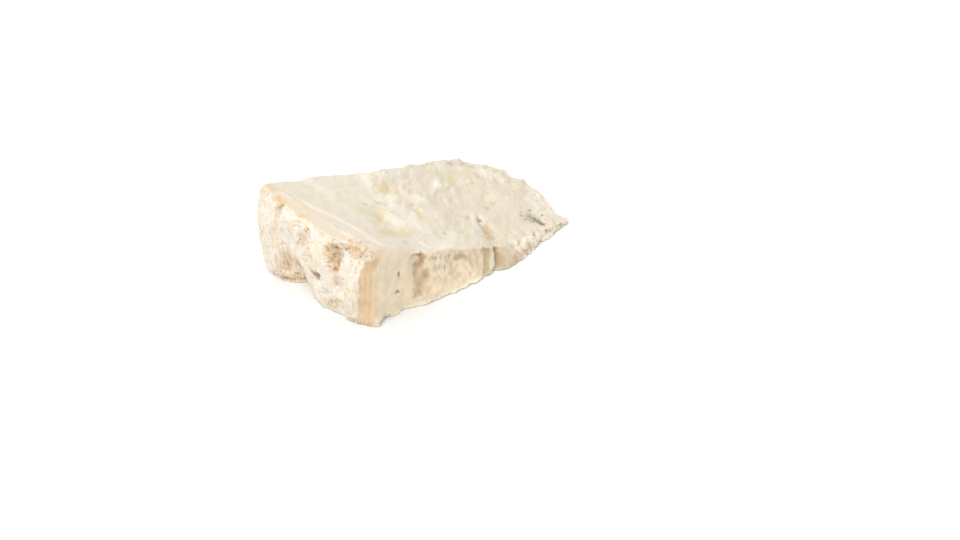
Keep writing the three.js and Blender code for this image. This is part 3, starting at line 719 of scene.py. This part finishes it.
def finish_shares(box, solid):
    """Share of each finish at each point, from its place on the solid's relief."""
    x, y, z = solid
    on_top = smooth(0.93, 1.0, box[:, 2] / HEIGHT)
    on_side = 1 - on_top
    near_rind, near_end = fade(3, 9, box[:, 0]), fade(2, 6, LENGTH - box[:, 0])
    on_front = fade(1.5, 4, box[:, 1]) * on_side
    from_back = DEPTH - box[:, 1]
    from_lip = x - along(LIP, y)
    # The skin: outside the cut rind's edge, and on the flat rind.
    wander = 0.5 * noise(y / 3, z / 3, 71) + 0.3 * noise(y / 1.4, z / 1.4 + x / 1.4, 72)
    inside_top = along(BAND_EDGE, y) - x
    inside_corner = along(CORNER_EDGE, z) - (x - y)
    outer = smooth(-0.6, 0.6, inside_top * on_top + inside_corner * on_side + wander)
    flat = on_side * fade(1.0, 3.5, from_back) + on_top * fade(0.2, 1.2, from_back)
    flat = flat * fade(-6, 2, x - along(THIN_END, y))
    skin = np.maximum(outer, flat)
    bare = 1 - skin
    on_rind = near_rind * outer
    crumbly = on_rind * spots(RIND_CRUMBLY, y, z) + flat * 0.35 * smooth(0.0, 0.6, noise(x / 8, z / 8, 80))
    # Tan line along the cut rind's outer edge on the upper face: partly tan crumb, partly painted shadow
    # where the edge overhangs.
    margin = 0.5 * bell((inside_top + wander) / 0.7) * on_top * smooth(8, 16, y)
    margin = margin * (0.6 + 0.6 * noise(y / 3, x / 3, 89))
    # The cut rind: along the lip, down the corner, and along the flat rind.
    corner = x - y + 0.8 * noise(x / 1.5, z / 12, 75) - 5.5 * smooth(36, 44, z)
    band = np.max([
        fade(-1.2, 0.8, from_lip + 0.4 * noise(x / 3, y / 6, 74)) * on_top,
        fade(-1.5, 6.0, corner) * on_side,
        0.7 * fade(1.0, 4.0, from_back + noise(x / 5, z / 5, 76)),
    ], axis=0)
    # Pale edges and lumps, and a painted highlight along the split face's foot and its toe.
    pale_top = np.max([
        0.3 * bell((from_lip - 0.4) / 0.9) * fade(70, 80, y),
        0.5 * flake_ridges(x, y, (1.0, 1.0), 1.0),
        0.8 * torn_spots(TOP_PALE, x, y),
    ], axis=0)
    pale_front = np.max([spots(FRONT_PALE, x, z), 0.3 * groove_ridge(x, z), 0.8 * end_lumps(x, z)], axis=0)
    pale_end = 0.7 * near_end * on_side * smooth(0.4, 0.8, broken_end(y, z))
    # Painted highlight where the pressed-out paste at the foot curves out into the light.
    foot_highlight = bell((z - 1.2) / 1.6) * pressed_out(x)
    toe = 0.7 * smooth(3, 7, x - y) * fade(14, 24, x) * fade(2.5, 6, z)
    return {
        "skin": skin,
        "band": band * bare,
        "corner": on_front * fade(0, 8, corner),
        "side": on_side * bare * (1 - 0.6 * smooth(96, 104, x) * smooth(2, 5, z)),
        "crumbly": np.clip(crumbly, 0, 1),
        # Brown pits; a few are painted shade: shadow lines under overhangs, and shade at the rind's foot.
        "brown": np.maximum(on_rind * spots(RIND_PITS, y, z), on_front * spots(FRONT_PITS, x, z)),
        "tan": np.clip(np.maximum(near_rind * spots(RIND_TAN, y, z), margin), 0, 1),
        # Tan stains; on the split face's column, partly painted shade in the hollow under the overhang.
        "stain_and_shade": np.maximum(on_top * spots(TOP_TAN, x, y), on_front * spots(FRONT_TAN, x, z)) * bare,
        "blush": on_rind * spots(RIND_BLUSH, y, z),
        # Yellowish hollows: partly yellowish paste, partly painted shade.
        "yellow_and_hollow_shade": on_top * torn_spots(TOP_YELLOW, x, y) * bare,
        "grey": on_top * spots(TOP_GREY, x, y) * (1 - 0.5 * skin),
        "mould": on_top * spots(TOP_MOULD, x, y),
        "torn": np.maximum(torn_share(x, y) * on_top, near_end) * bare,
        "cups": cups(x, y) * on_top,
        "streaks": np.maximum(upright_pits(x, z), spots(FRONT_GREY, x, z)) * on_front,
        "far": smooth(66, 104, x),
        # Foot of the thin part: painted shade darkening it towards the ground, with rosy mottling.
        "low": smooth(92, 104, x) * fade(3, 7, z) * on_side,
        "pale": np.max([pale_top * on_top, pale_front * on_front, pale_end], axis=0),
        # Painted highlight along the split face's foot and toe.
        "foot_highlight": np.maximum(foot_highlight, toe) * on_front,
        "groove": groove_share(x, y, (1, 6)) * on_top,
        # Groove walls: stain, and painted shade of the deep cracks.
        "olive_stain_and_shade": np.clip(groove_walls(x, z), 0, 1) * on_front * smooth(0.5, 3, z),
        "streaky": on_rind * streaky(y),
    }


# ---- Meshes ----


def new_object(name, data):
    """An object at the origin, in the scene."""
    made = bpy.data.objects.new(name, data)
    bpy.context.scene.collection.objects.link(made)
    return made


def new_piece(name, points, faces, materials):
    """A smooth shaded mesh object from points and faces."""
    mesh = bpy.data.meshes.new(name)
    mesh.from_pydata(points, [], faces)
    mesh.polygons.foreach_set("use_smooth", np.ones(len(mesh.polygons), bool))
    for material in materials:
        mesh.materials.append(material)
    return new_object(name, mesh)


def add_share(piece, name, values):
    """Keeps one number per point on the mesh, for the materials."""
    layer = piece.data.attributes.new(name, "FLOAT", "POINT")
    layer.data.foreach_set("value", np.asarray(values, np.float32))


def icosahedron():
    """Twelve corners, (0, 1, golden ratio) with every sign and turned through the axes; a face joins
    each three corners a shortest edge, of length 2, apart, wound outwards."""
    golden = (1 + math.sqrt(5)) / 2
    signs = np.array([(0.0, side, up * golden) for side in (-1, 1) for up in (-1, 1)])
    corners = np.concatenate([np.roll(signs, turn, axis=1) for turn in range(3)])
    faces = np.array(list(itertools.combinations(range(len(corners)), 3)))
    a, b, c = (corners[faces[:, k]] for k in range(3))
    longest = np.max([np.linalg.norm(p - q, axis=1) for p, q in ((a, b), (b, c), (c, a))], axis=0)
    inward = np.sum(np.cross(b - a, c - a) * (a + b + c), axis=1) < 0
    faces[inward] = faces[inward][:, ::-1]
    return corners / np.hypot(1.0, golden), faces[longest < 2.1]


def crumb_weights(box, shaped, shares):
    """How likely a crumb is at each point: where the rind crumbles, in its tan hollows, along its foot
    and on the split face's toe, but not right at the ground."""
    x, _, z = shaped.T
    foot = 0.25 * bell((z - 1.5) / 1.4) * shares["skin"]
    toe = 0.6 * bell((z - 1.8) / 2.0) * fade(12, 22, x) * fade(-1, 3, box[:, 1])
    below_cap = fade(50, 54, z)
    weights = shares["crumbly"] ** 2 + 0.5 * shares["tan"] * shares["skin"] * below_cap + foot + toe
    return (weights + 0.01 * shares["skin"] * below_cap) * smooth(0.6, 1.2, z)


def crumb_lumps(shaped, weights, size):
    """Crumbs stuck on the surface, more where the weights are high: each a twenty-sided lump on a
    drawn point, with drawn half sizes and jittered corners. Returns their points and faces, and for
    each crumb its point of the surface and a draw."""
    rng = np.random.default_rng(size.crumb_seed)
    count = size.crumbs
    chosen = rng.choice(len(shaped), count, replace=False, p=weights / weights.sum())
    corners, faces = icosahedron()
    half = size.crumb_size * rng.uniform(0.4, 1.0, (count, 1, 1)) ** 1.5
    half = half * rng.uniform(0.7, 1.3, (count, 1, 3))
    jitter = rng.uniform(0.75, 1.15, (count, len(corners), 1))
    points = shaped[chosen][:, None, :] + corners[None] * jitter * half
    numbered = faces[None] + len(corners) * np.arange(count)[:, None, None]
    return points.reshape(-1, 3), numbered.reshape(-1, 3), chosen, rng.uniform(0, 1, count)


# ---- Materials ----


# Lumps to the metre of the finer noises, and the Mix node's sockets for colours.
FINE, SPECKLE, GRAIN = 600.0, 1100.0, 1500.0
MIX_FIRST, MIX_SECOND, MIX_RESULT = 6, 7, 2
# The underside's cut rind, over x in metres.
UNDERSIDE_BAND = (-0.076, -0.064)


class Wire:
    """One node's output, so that shader maths reads as an expression."""

    def __init__(self, shader, socket):
        self.shader, self.socket = shader, socket

    def math(self, operation, first, second, clamp=False):
        return self.shader.node("Math", {0: first, 1: second}, operation=operation, use_clamp=clamp)

    def __add__(self, other):
        return self.math("ADD", self, other)

    __radd__ = __add__

    def __sub__(self, other):
        return self.math("SUBTRACT", self, other)

    def __rsub__(self, other):
        return self.math("SUBTRACT", other, self)

    def __mul__(self, other):
        return self.math("MULTIPLY", self, other)

    __rmul__ = __mul__

    def clamped(self):
        return self.math("ADD", self, 0.0, clamp=True)


def colour(value):
    """A colour property as four numbers, and a wire as it is."""
    return value if isinstance(value, Wire) else (*value[:3], 1.0)


class Shader:
    """The node tree of one material, with a method for each kind of node that is used."""

    def __init__(self, name):
        self.material = bpy.data.materials.new(name)
        self.material.use_nodes = True
        self.tree = self.material.node_tree
        self.tree.nodes.clear()

    def node(self, kind, sockets, output=0, **settings):
        """Adds a node, sets its settings and then its sockets' values or links."""
        made = self.tree.nodes.new("ShaderNode" + kind)
        for name, value in settings.items():
            setattr(made, name, value)
        for name, value in sockets.items():
            if isinstance(value, Wire):
                self.tree.links.new(value.socket, made.inputs[name])
            else:
                made.inputs[name].default_value = value
        return Wire(self, made.outputs[output]) if made.outputs else None

    def share(self, name):
        """An attribute of the mesh, as a number."""
        return self.node("Attribute", {}, "Fac", attribute_name=name)

    def ramp(self, value, low, high):
        """0 at low, 1 at high, smooth between."""
        sockets = {"Value": value, "From Min": low, "From Max": high}
        return self.node("MapRange", sockets, interpolation_type="SMOOTHSTEP")

    def mix(self, share, first, second):
        """One colour into another."""
        sockets = {"Factor": share, MIX_FIRST: colour(first), MIX_SECOND: colour(second)}
        return self.node("Mix", sockets, MIX_RESULT, data_type="RGBA")

    def coats(self, surface, *coats):
        """Colours laid over a surface in order, each by its own share."""
        for share, coat in coats:
            surface = self.mix(share, surface, coat)
        return surface

    def broken(self, name, least, more, grain):
        """An attribute broken up by a grain: times (least + more * grain), and at most 1."""
        return (self.share(name) * (least + more * grain)).clamped()

    def noise(self, place, scale, detail=4.0):
        """Noise from 0 to 1 of so many lumps to the metre."""
        sockets = {"Vector": place, "Scale": scale, "Detail": detail, "Roughness": 0.55}
        return self.node("TexNoise", sockets)

    def specks(self, place, scale, reach):
        """Small round specks, one at a drawn place in each cell: 1 in the middle, 0 beyond the reach."""
        distance = self.node("TexVoronoi", {"Vector": place, "Scale": scale}, "Distance")
        return 1.0 - self.ramp(distance, 0.45 * reach, reach)

    def place(self, across=1.0, up=1.0):
        """The piece's own coordinates, scaled across and up: below 1, what is drawn is stretched."""
        own = self.node("TexCoord", {}, "Object")
        return self.node("Mapping", {"Vector": own, "Scale": (1.0, across, up)})

    def moist(self, surface, rough, height, strength, distance):
        """The finished material: moist cheese that lets a little light in, with fine bumps."""
        bump = {"Strength": strength, "Distance": distance, "Height": height}
        sockets = {
            "Base Color": surface,
            "Roughness": rough,
            "Normal": self.node("Bump", bump),
            "IOR": 1.45,
            "Specular IOR Level": 0.45,
            "Subsurface Weight": 0.5,
            "Subsurface Radius": (1.0, 0.72, 0.42),
            "Subsurface Scale": 0.003,
        }
        return self.finish(sockets)

    def finish(self, sockets):
        """The finished material from its surface's sockets."""
        self.node("OutputMaterial", {"Surface": self.node("BsdfPrincipled", sockets)})
        return self.material


def torn_place(shader):
    """The piece's own coordinates turned and stretched as drawn_out does."""
    turn = (0.0, 0.0, math.radians(TEAR_TURN))
    turned = shader.node("Mapping", {"Vector": shader.place(), "Rotation": turn})
    return shader.node("Mapping", {"Vector": turned, "Scale": (TEAR_STRETCH, 1 / TEAR_STRETCH, 1.0)})


def skin_colour(shader, looks):
    """Pale outer rind: warmer blotches, upright streaks on its pillars, and tan crumbs and brown
    pinholes that gather where it crumbles."""
    ramp, crumbly, streaky = shader.ramp, shader.share("crumbly"), shader.share("streaky")
    blotch = shader.noise(shader.place(up=0.45), 170.0, 3.0)
    upright = shader.noise(shader.place(up=0.12), 560.0, 3.0)
    crumb = shader.noise(shader.place(up=0.6), 620.0)
    speck = shader.noise(shader.place(up=0.6), SPECKLE, 2.0)
    pinholes = shader.specks(shader.place(), 330.0, 0.2) * ramp(blotch, 0.42, 0.58)
    dark = ramp(speck, 0.55, 0.64) * crumbly + ramp(upright, 0.62, 0.7) * streaky * 0.6
    return shader.coats(
        looks.skin,
        (ramp(blotch, 0.4, 0.62) * 0.5, looks.skin_deep),
        (ramp(upright, 0.46, 0.6) * (0.15 + 0.6 * streaky), looks.skin_deep),
        (ramp(speck, 0.56, 0.66) * (0.25 + 0.6 * crumbly), looks.tan),
        (crumbly * ramp(crumb, 0.4, 0.58) * 0.6, looks.tan),
        (ramp(crumb, 0.61, 0.68) * 0.4, looks.tan),
        (pinholes * 0.6, looks.brown),
        (dark.clamped() * 0.55, looks.brown),
    )


def top_colour(shader, looks):
    """Creamy paste of the upper face: cool, rosy and yellowish patches, paler on torn lumps, painted
    yellowish shade in the cups, with a pinkish groove."""
    ramp, share, place = shader.ramp, shader.share, torn_place(shader)
    broad, patch = shader.noise(place, 70.0), shader.noise(place, 180.0)
    mottle, fine = shader.noise(place, 130.0, 3.0), shader.noise(place, FINE)
    cool = shader.node("TexNoise", {"Vector": place, "W": 5.0, "Scale": 120.0}, noise_dimensions="4D")
    torn = share("torn")
    return shader.coats(
        looks.paste,
        (ramp(patch, 0.35, 0.7), looks.paste_deep),
        (torn * ramp(broad, 0.46, 0.62) * 0.7, looks.paste_pale),
        ((0.3 + 0.7 * torn) * ramp(cool, 0.48, 0.6) * 0.7, looks.paste_cool),
        (torn * ramp(mottle, 0.52, 0.64) * 0.35, looks.yellow_and_hollow_shade),
        (torn * (1.0 - ramp(mottle, 0.36, 0.46)) * 0.6, looks.paste_rosy),
        (share("far") * 0.5, looks.paste_far),
        (share("groove") * 0.45, looks.paste_rosy),
        # Painted yellowish shade in the cups.
        (share("cups") * (0.1 + 0.5 * fine), looks.yellow_and_hollow_shade),
    )


def side_colour(shader, looks):
    """Paste of the split face and thin end, warmer partly as a painted reflection of warm bounce light:
    soft blotches, a rosy foot darkened by painted shade and yellowish dots towards the thin end, a painted
    highlight along the foot, greenish-brown grooves darkened by painted shade, and brownish upright
    streaks."""
    ramp, share, place = shader.ramp, shader.share, shader.place()
    patch, fine = shader.noise(place, 150.0), shader.noise(place, FINE)
    rosy, dots = shader.noise(place, 260.0, 3.0), shader.noise(place, 420.0, 2.0)
    return shader.coats(
        # Warmer cream, partly a painted reflection of warm bounce light.
        looks.side_paste_with_bounce,
        (ramp(patch, 0.35, 0.65), looks.side_paste_deep_with_bounce),
        (share("far") * 0.8, looks.side_paste_far),
        # Painted shade at the foot of the thin part, reddish brown, with rosy mottling.
        (share("low") * (0.25 + 0.7 * ramp(rosy, 0.42, 0.6)), looks.side_rosy_shade),
        (ramp(dots, 0.56, 0.66) * share("far") * 0.5, looks.yellow_and_hollow_shade),
        # Painted highlight along the foot.
        (share("foot_highlight"), looks.side_highlight),
        # Groove walls: stain, and painted shade of the deep cracks.
        (shader.broken("olive_stain_and_shade", 0.35, 0.9, fine), looks.olive_stain_and_shade),
        (shader.broken("streaks", 0.2, 0.9, fine), looks.streak),
    )


def band_colour(shader, looks, lines):
    """Cut edge of the rind, with fine lines: pale beige above and a stronger beige down the corner."""
    patch = shader.noise(shader.place(), 180.0)
    band = shader.mix(shader.ramp(lines, 0.35, 0.65) * 0.6, looks.cut_rind, looks.cut_rind_deep)
    corner = shader.mix(shader.ramp(lines + 0.4 * patch, 0.45, 0.95), looks.corner, looks.corner_deep)
    return shader.mix(shader.share("corner"), band, corner)


def cheese_material(looks):
    """Pale crumbly skin, beige cut rind, and creamy paste with its stained and mouldy places; some stains,
    hollows and grooves carry painted shade, and the split face's foot a painted highlight.
    """
    shader = Shader("cheese")
    ramp, share, broken, place = shader.ramp, shader.share, shader.broken, shader.place()
    fine, grain = shader.noise(place, FINE), shader.noise(place, GRAIN, 3.0)
    speckle, lines = shader.noise(place, SPECKLE, 2.0), shader.noise(shader.place(0.06, 0.06), 900.0, 2.0)
    skin, band, mould = share("skin"), share("band"), share("mould")
    surface = shader.coats(
        top_colour(shader, looks),
        (share("side"), side_colour(shader, looks)),
        (share("pale") * 0.85, looks.paste_pale),
        # Yellowish hollows: partly yellowish paste, partly painted shade.
        (broken("yellow_and_hollow_shade", 0.65, 0.8, fine), looks.yellow_and_hollow_shade),
        (band, band_colour(shader, looks, lines)),
        (skin, skin_colour(shader, looks)),
        # Tan stains; on the split face's column, partly painted shade.
        (broken("stain_and_shade", 0.35, 0.9, fine), looks.stain_and_shade),
        (broken("tan", 0.3, 1.1, fine), looks.tan),
        (broken("blush", 0.5, 0.8, speckle), looks.blush),
        (broken("grey", 0.1, 1.0, speckle), looks.grey),
        # Brown pits, a few of them painted shade under overhangs and at the rind's foot.
        (ramp(share("brown") * 0.5 + speckle, 0.74, 0.96) * 0.8, looks.brown),
        (ramp(mould, 0.1, 0.6) * (0.3 + 0.5 * fine), looks.grey),
        (ramp(mould * 0.5 + speckle, 0.68, 0.92) * 0.85, looks.mould),
    )
    rough = (0.38 + 0.4 * skin + 0.15 * band + 0.14 * fine).clamped()
    height = fine * (0.3 + 1.4 * skin) + grain * (0.15 + skin) + lines * band * 0.4
    return shader.moist(surface, rough, height, strength=0.6, distance=0.0008)


def crumb_material(looks):
    """Crumbs of the rind, from nearly white to brown."""
    shader = Shader("crumbs")
    ramp, tone, grain = shader.ramp, shader.share("tone"), shader.noise(shader.place(), GRAIN, 3.0)
    surface = shader.coats(
        looks.skin,
        (ramp(tone, 0.2, 0.5), looks.skin_deep),
        (ramp(tone, 0.45, 0.8), looks.tan),
        (ramp(tone, 0.85, 0.97) * 0.5, looks.brown),
    )
    return shader.moist(surface, (0.7 + 0.2 * grain).clamped(), grain, strength=0.5, distance=0.0004)


def underside_material(looks):
    """The cut face that the wedge lies on: pressed smooth paste with a beige edge at the rind."""
    shader = Shader("cheese_underside")
    place = shader.place()
    broad, fine = shader.noise(place, 60.0), shader.noise(place, 500.0)
    across = shader.node("SeparateXYZ", {"Vector": place}, "X")
    surface = shader.coats(
        looks.paste,
        (shader.ramp(broad, 0.3, 0.7), looks.paste_deep),
        (1.0 - shader.ramp(across + 0.006 * broad, *UNDERSIDE_BAND), looks.cut_rind),
    )
    return shader.moist(surface, (0.5 + 0.2 * fine).clamped(), fine, strength=0.4, distance=0.0006)


def floor_material(stage):
    """Plain pale floor."""
    sockets = {"Base Color": colour(stage.floor_colour), "Roughness": 0.9, "Specular IOR Level": 0.1}
    return Shader("floor").finish(sockets)


# ---- Settings ----


def tint(name, description, default):
    """A colour."""
    return FloatVectorProperty(
        name=name, description=description, default=default, subtype="COLOR", size=3, min=0.0, max=1.0
    )


def amount(name, description, default):
    """A number from 0 up."""
    return FloatProperty(name=name, description=description, default=default, min=0.0)


def count_of(name, description, default, least):
    """A whole number."""
    return IntProperty(name=name, description=description, default=default, min=least)


class CheeseSizes(PropertyGroup):
    """How strong each relief is and how fine the mesh."""

    steps_x: count_of("Steps along", "Mesh steps from rind to thin end", 262, 20)
    steps_y: count_of("Steps across", "Mesh steps from split face to flat rind", 142, 20)
    steps_z: count_of("Steps up", "Mesh steps from foot to crest", 72, 10)
    lump_rise: amount("Lumps", "Strength of the torn paste's lumps", 1.0)
    wrinkle_rise: amount("Wrinkles", "Strength of the rind's wrinkles", 1.0)
    pit_depth: amount("Pits", "Depth of a full pit, in millimetres", 1.0)
    crumbs: count_of("Crumbs", "Number of loose crumbs on the rind", 1300, 1)
    crumb_size: amount("Crumb size", "Half width of the largest crumbs, in millimetres", 0.65)
    crumb_seed: count_of("Crumb seed", "Which draw of crumbs", 7, 0)


class CheeseLooks(PropertyGroup):
    """Colours of the cheese."""

    paste: tint("Paste", "Cream paste", (0.765, 0.69, 0.57))
    paste_deep: tint("Deep paste", "Slightly darker cream", (0.71, 0.63, 0.50))
    paste_pale: tint("Pale paste", "Palest torn lumps", (0.87, 0.82, 0.71))
    paste_rosy: tint("Rosy paste", "Slightly rosy cream", (0.82, 0.71, 0.60))
    paste_cool: tint("Cool paste", "Slightly cool cream", (0.755, 0.715, 0.62))
    paste_far: tint("Thin paste", "Paste towards the thin end", (0.62, 0.545, 0.43))
    # Yellowish colour of the paste's hollows, cups and dots; in hollows and cups partly painted shade.
    yellow_and_hollow_shade: tint("Yellow", "Yellowish hollows", (0.71, 0.585, 0.345))
    # The two warm creams of the split face are partly a painted reflection of warm bounce light.
    side_paste_with_bounce: tint("Split paste", "Warmer cream of the upright faces", (0.855, 0.735, 0.545))
    side_paste_deep_with_bounce: tint("Deep split paste", "Darker warm cream", (0.77, 0.655, 0.475))
    side_paste_far: tint("Thin split paste", "Split face towards the thin end", (0.49, 0.395, 0.27))
    # Reddish-brown painted shade at the foot of the split face's thin end, with rosy mottling.
    side_rosy_shade: tint("Rosy foot", "Rosy foot of the split face's thin end", (0.60, 0.45, 0.33))
    # Painted highlight on the paste pressed out at the split face's foot.
    side_highlight: tint("Pale rim", "Paste pressed out at the foot", (0.95, 0.82, 0.64))
    # Groove walls: partly stain, partly painted shade of the deep cracks.
    olive_stain_and_shade: tint("Olive", "Stained walls of the split face's grooves", (0.38, 0.295, 0.13))
    # Tan hollows of the upper face and the split face's column, the column partly painted shade.
    stain_and_shade: tint("Stain", "Tan hollows of the upper face", (0.44, 0.29, 0.15))
    cut_rind: tint("Cut rind", "Pale beige edge of the cut rind", (0.69, 0.605, 0.48))
    cut_rind_deep: tint("Deep cut rind", "Darker pale beige", (0.66, 0.55, 0.40))
    corner: tint("Corner", "Beige cut rind down the corner", (0.74, 0.56, 0.36))
    corner_deep: tint("Deep corner", "Darker beige of the corner", (0.64, 0.44, 0.25))
    skin: tint("Skin", "Pale outer rind", (0.90, 0.84, 0.73))
    skin_deep: tint("Deep skin", "Warmer outer rind", (0.78, 0.67, 0.52))
    tan: tint("Tan", "Tan crumb in pits and hollows", (0.71, 0.455, 0.21))
    brown: tint("Brown", "Deep pits", (0.40, 0.22, 0.09))
    blush: tint("Blush", "Purplish stain", (0.34, 0.15, 0.105))
    grey: tint("Grey", "Greyish marks", (0.42, 0.36, 0.26))
    streak: tint("Streak", "Brownish specks of the split face", (0.42, 0.34, 0.22))
    mould: tint("Mould", "Blue-grey mould", (0.20, 0.17, 0.115))


class CheeseStage(PropertyGroup):
    """Floor, light and camera."""

    floor_colour: tint("Floor", "Pale floor", (0.82, 0.82, 0.82))
    fill: amount("Fill light", "Strength of the even white light", 0.64)
    key: amount("Key light", "Strength of the large soft light", 2.15)
    back: amount("Back light", "Strength of the soft light behind", 0.4)
    spread: FloatProperty(name="Spread", description="Width of both lights", default=0.9, subtype="ANGLE")
    lens: FloatProperty(name="Lens", description="Focal length", default=66.25, unit="CAMERA")


# ---- Operators ----


class CHEESE_OT_wedge(Operator):
    """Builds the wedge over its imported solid"""

    bl_idname = "cheese.wedge"
    bl_label = "Cheese wedge"

    def execute(self, context):
        size, looks = context.scene.cheese_sizes, context.scene.cheese_looks
        box, solid, shaped, quads, ring = wedge_surface(size)
        faces = quads.tolist() + [ring[::-1].tolist()]
        materials = [cheese_material(looks), underside_material(looks)]
        piece = new_piece("cheese", in_frame(shaped), faces, materials)
        underside = piece.data.polygons[len(quads)]
        underside.material_index = 1
        underside.use_smooth = False
        for name, values in finish_shares(box, solid).items():
            add_share(piece, name, values)
        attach(piece, "root")
        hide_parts(NODE)
        return {"FINISHED"}


class CHEESE_OT_crumbs(Operator):
    """Sticks loose crumbs on the rind where it crumbles and along its foot"""

    bl_idname = "cheese.crumbs"
    bl_label = "Crumbs"

    def execute(self, context):
        size, looks = context.scene.cheese_sizes, context.scene.cheese_looks
        box, solid, shaped, _, _ = wedge_surface(size)
        shares = finish_shares(box, solid)
        weights = crumb_weights(box, shaped, shares)
        points, faces, chosen, drawn = crumb_lumps(shaped, weights, size)
        points[:, 2] = np.maximum(points[:, 2], 0.0)
        tones = 0.7 * drawn + 0.3 * np.maximum(shares["crumbly"], shares["tan"])[chosen]
        piece = new_piece("crumbs", in_frame(points), faces.tolist(), [crumb_material(looks)])
        add_share(piece, "tone", np.repeat(tones, len(points) // len(chosen)))
        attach(piece, "root")
        return {"FINISHED"}


# Where the camera stands and the lights come from, in the wedge's own axes; distances in millimetres.
CAMERA_AZIMUTH = math.radians(-43.2)
CAMERA_ELEVATION = math.radians(34.96)
CAMERA_PLACE = np.array([-495.07, -615.01, 590.46])
KEY_FROM = (-0.50, -0.14, 0.86)
BACK_FROM = (0.34, 0.62, 0.71)
# Half the floor's side, in metres.
FLOOR_HALF = 3.0


class CHEESE_OT_stage(Operator):
    """Lays the floor and sets the light and camera"""

    bl_idname = "cheese.stage"
    bl_label = "Stage"

    def execute(self, context):
        stage = context.scene.cheese_stage
        signs = ((-1, -1), (1, -1), (1, 1), (-1, 1))
        corners = [(FLOOR_HALF * x, FLOOR_HALF * y, 0.0) for x, y in signs]
        floor = new_piece("floor", corners, [(0, 1, 2, 3)], [floor_material(stage)])
        world = bpy.data.worlds.new("soft_white")
        world.use_nodes = True
        background = world.node_tree.nodes["Background"]
        background.inputs["Color"].default_value = (1.0, 1.0, 1.0, 1.0)
        background.inputs["Strength"].default_value = stage.fill
        context.scene.world = world
        self.add_light("key", stage.key, stage.spread, KEY_FROM)
        self.add_light("back", stage.back, stage.spread, BACK_FROM)
        context.scene.view_settings.view_transform = "Standard"
        context.scene.camera = self.add_camera(stage)
        return {"FINISHED"}

    def add_light(self, name, energy, spread, light_from):
        light = bpy.data.lights.new(name, "SUN")
        light.energy = energy
        light.angle = spread
        turn = (-Vector(light_from)).to_track_quat("-Z", "Y")
        new_object(name, light).rotation_euler = turn.to_euler()

    def add_camera(self, stage):
        camera = bpy.data.cameras.new("camera")
        camera.lens = stage.lens
        camera.sensor_width = 36.0
        camera.clip_start = 0.01
        viewer = new_object("camera", camera)
        tilt = Matrix.Rotation(math.pi / 2 - CAMERA_ELEVATION, 4, "X")
        turn = Matrix.Rotation(CAMERA_AZIMUTH, 4, "Z") @ tilt
        viewer.matrix_world = Matrix.Translation(in_frame(CAMERA_PLACE)) @ turn
        return viewer


class CHEESE_PT_panel(Panel):
    """Lists the wedge's operators and settings"""

    bl_idname = "CHEESE_PT_panel"
    bl_label = "Blue cheese wedge"
    bl_space_type = "VIEW_3D"
    bl_region_type = "UI"
    bl_category = "Cheese"

    def draw(self, context):
        for operator in OPERATORS:
            self.layout.operator(operator.bl_idname)
        for group in GROUPS:
            settings = getattr(context.scene, group)
            for name in settings.bl_rna.properties.keys():
                if name not in ("rna_type", "name"):
                    self.layout.prop(settings, name)


OPERATORS = (CHEESE_OT_wedge, CHEESE_OT_crumbs, CHEESE_OT_stage)
GROUPS = {"cheese_sizes": CheeseSizes, "cheese_looks": CheeseLooks, "cheese_stage": CheeseStage}


def register():
    for made in (*GROUPS.values(), *OPERATORS, CHEESE_PT_panel):
        bpy.utils.register_class(made)
    for name, group in GROUPS.items():
        setattr(bpy.types.Scene, name, PointerProperty(type=group))


def unregister():
    for name in GROUPS:
        delattr(bpy.types.Scene, name)
    for made in (CHEESE_PT_panel, *reversed(OPERATORS), *reversed(GROUPS.values())):
        bpy.utils.unregister_class(made)


def main():
    register()
    bpy.ops.cheese.wedge()
    bpy.ops.cheese.crumbs()
    bpy.ops.cheese.stage()


if __name__ == "__main__":
    main()
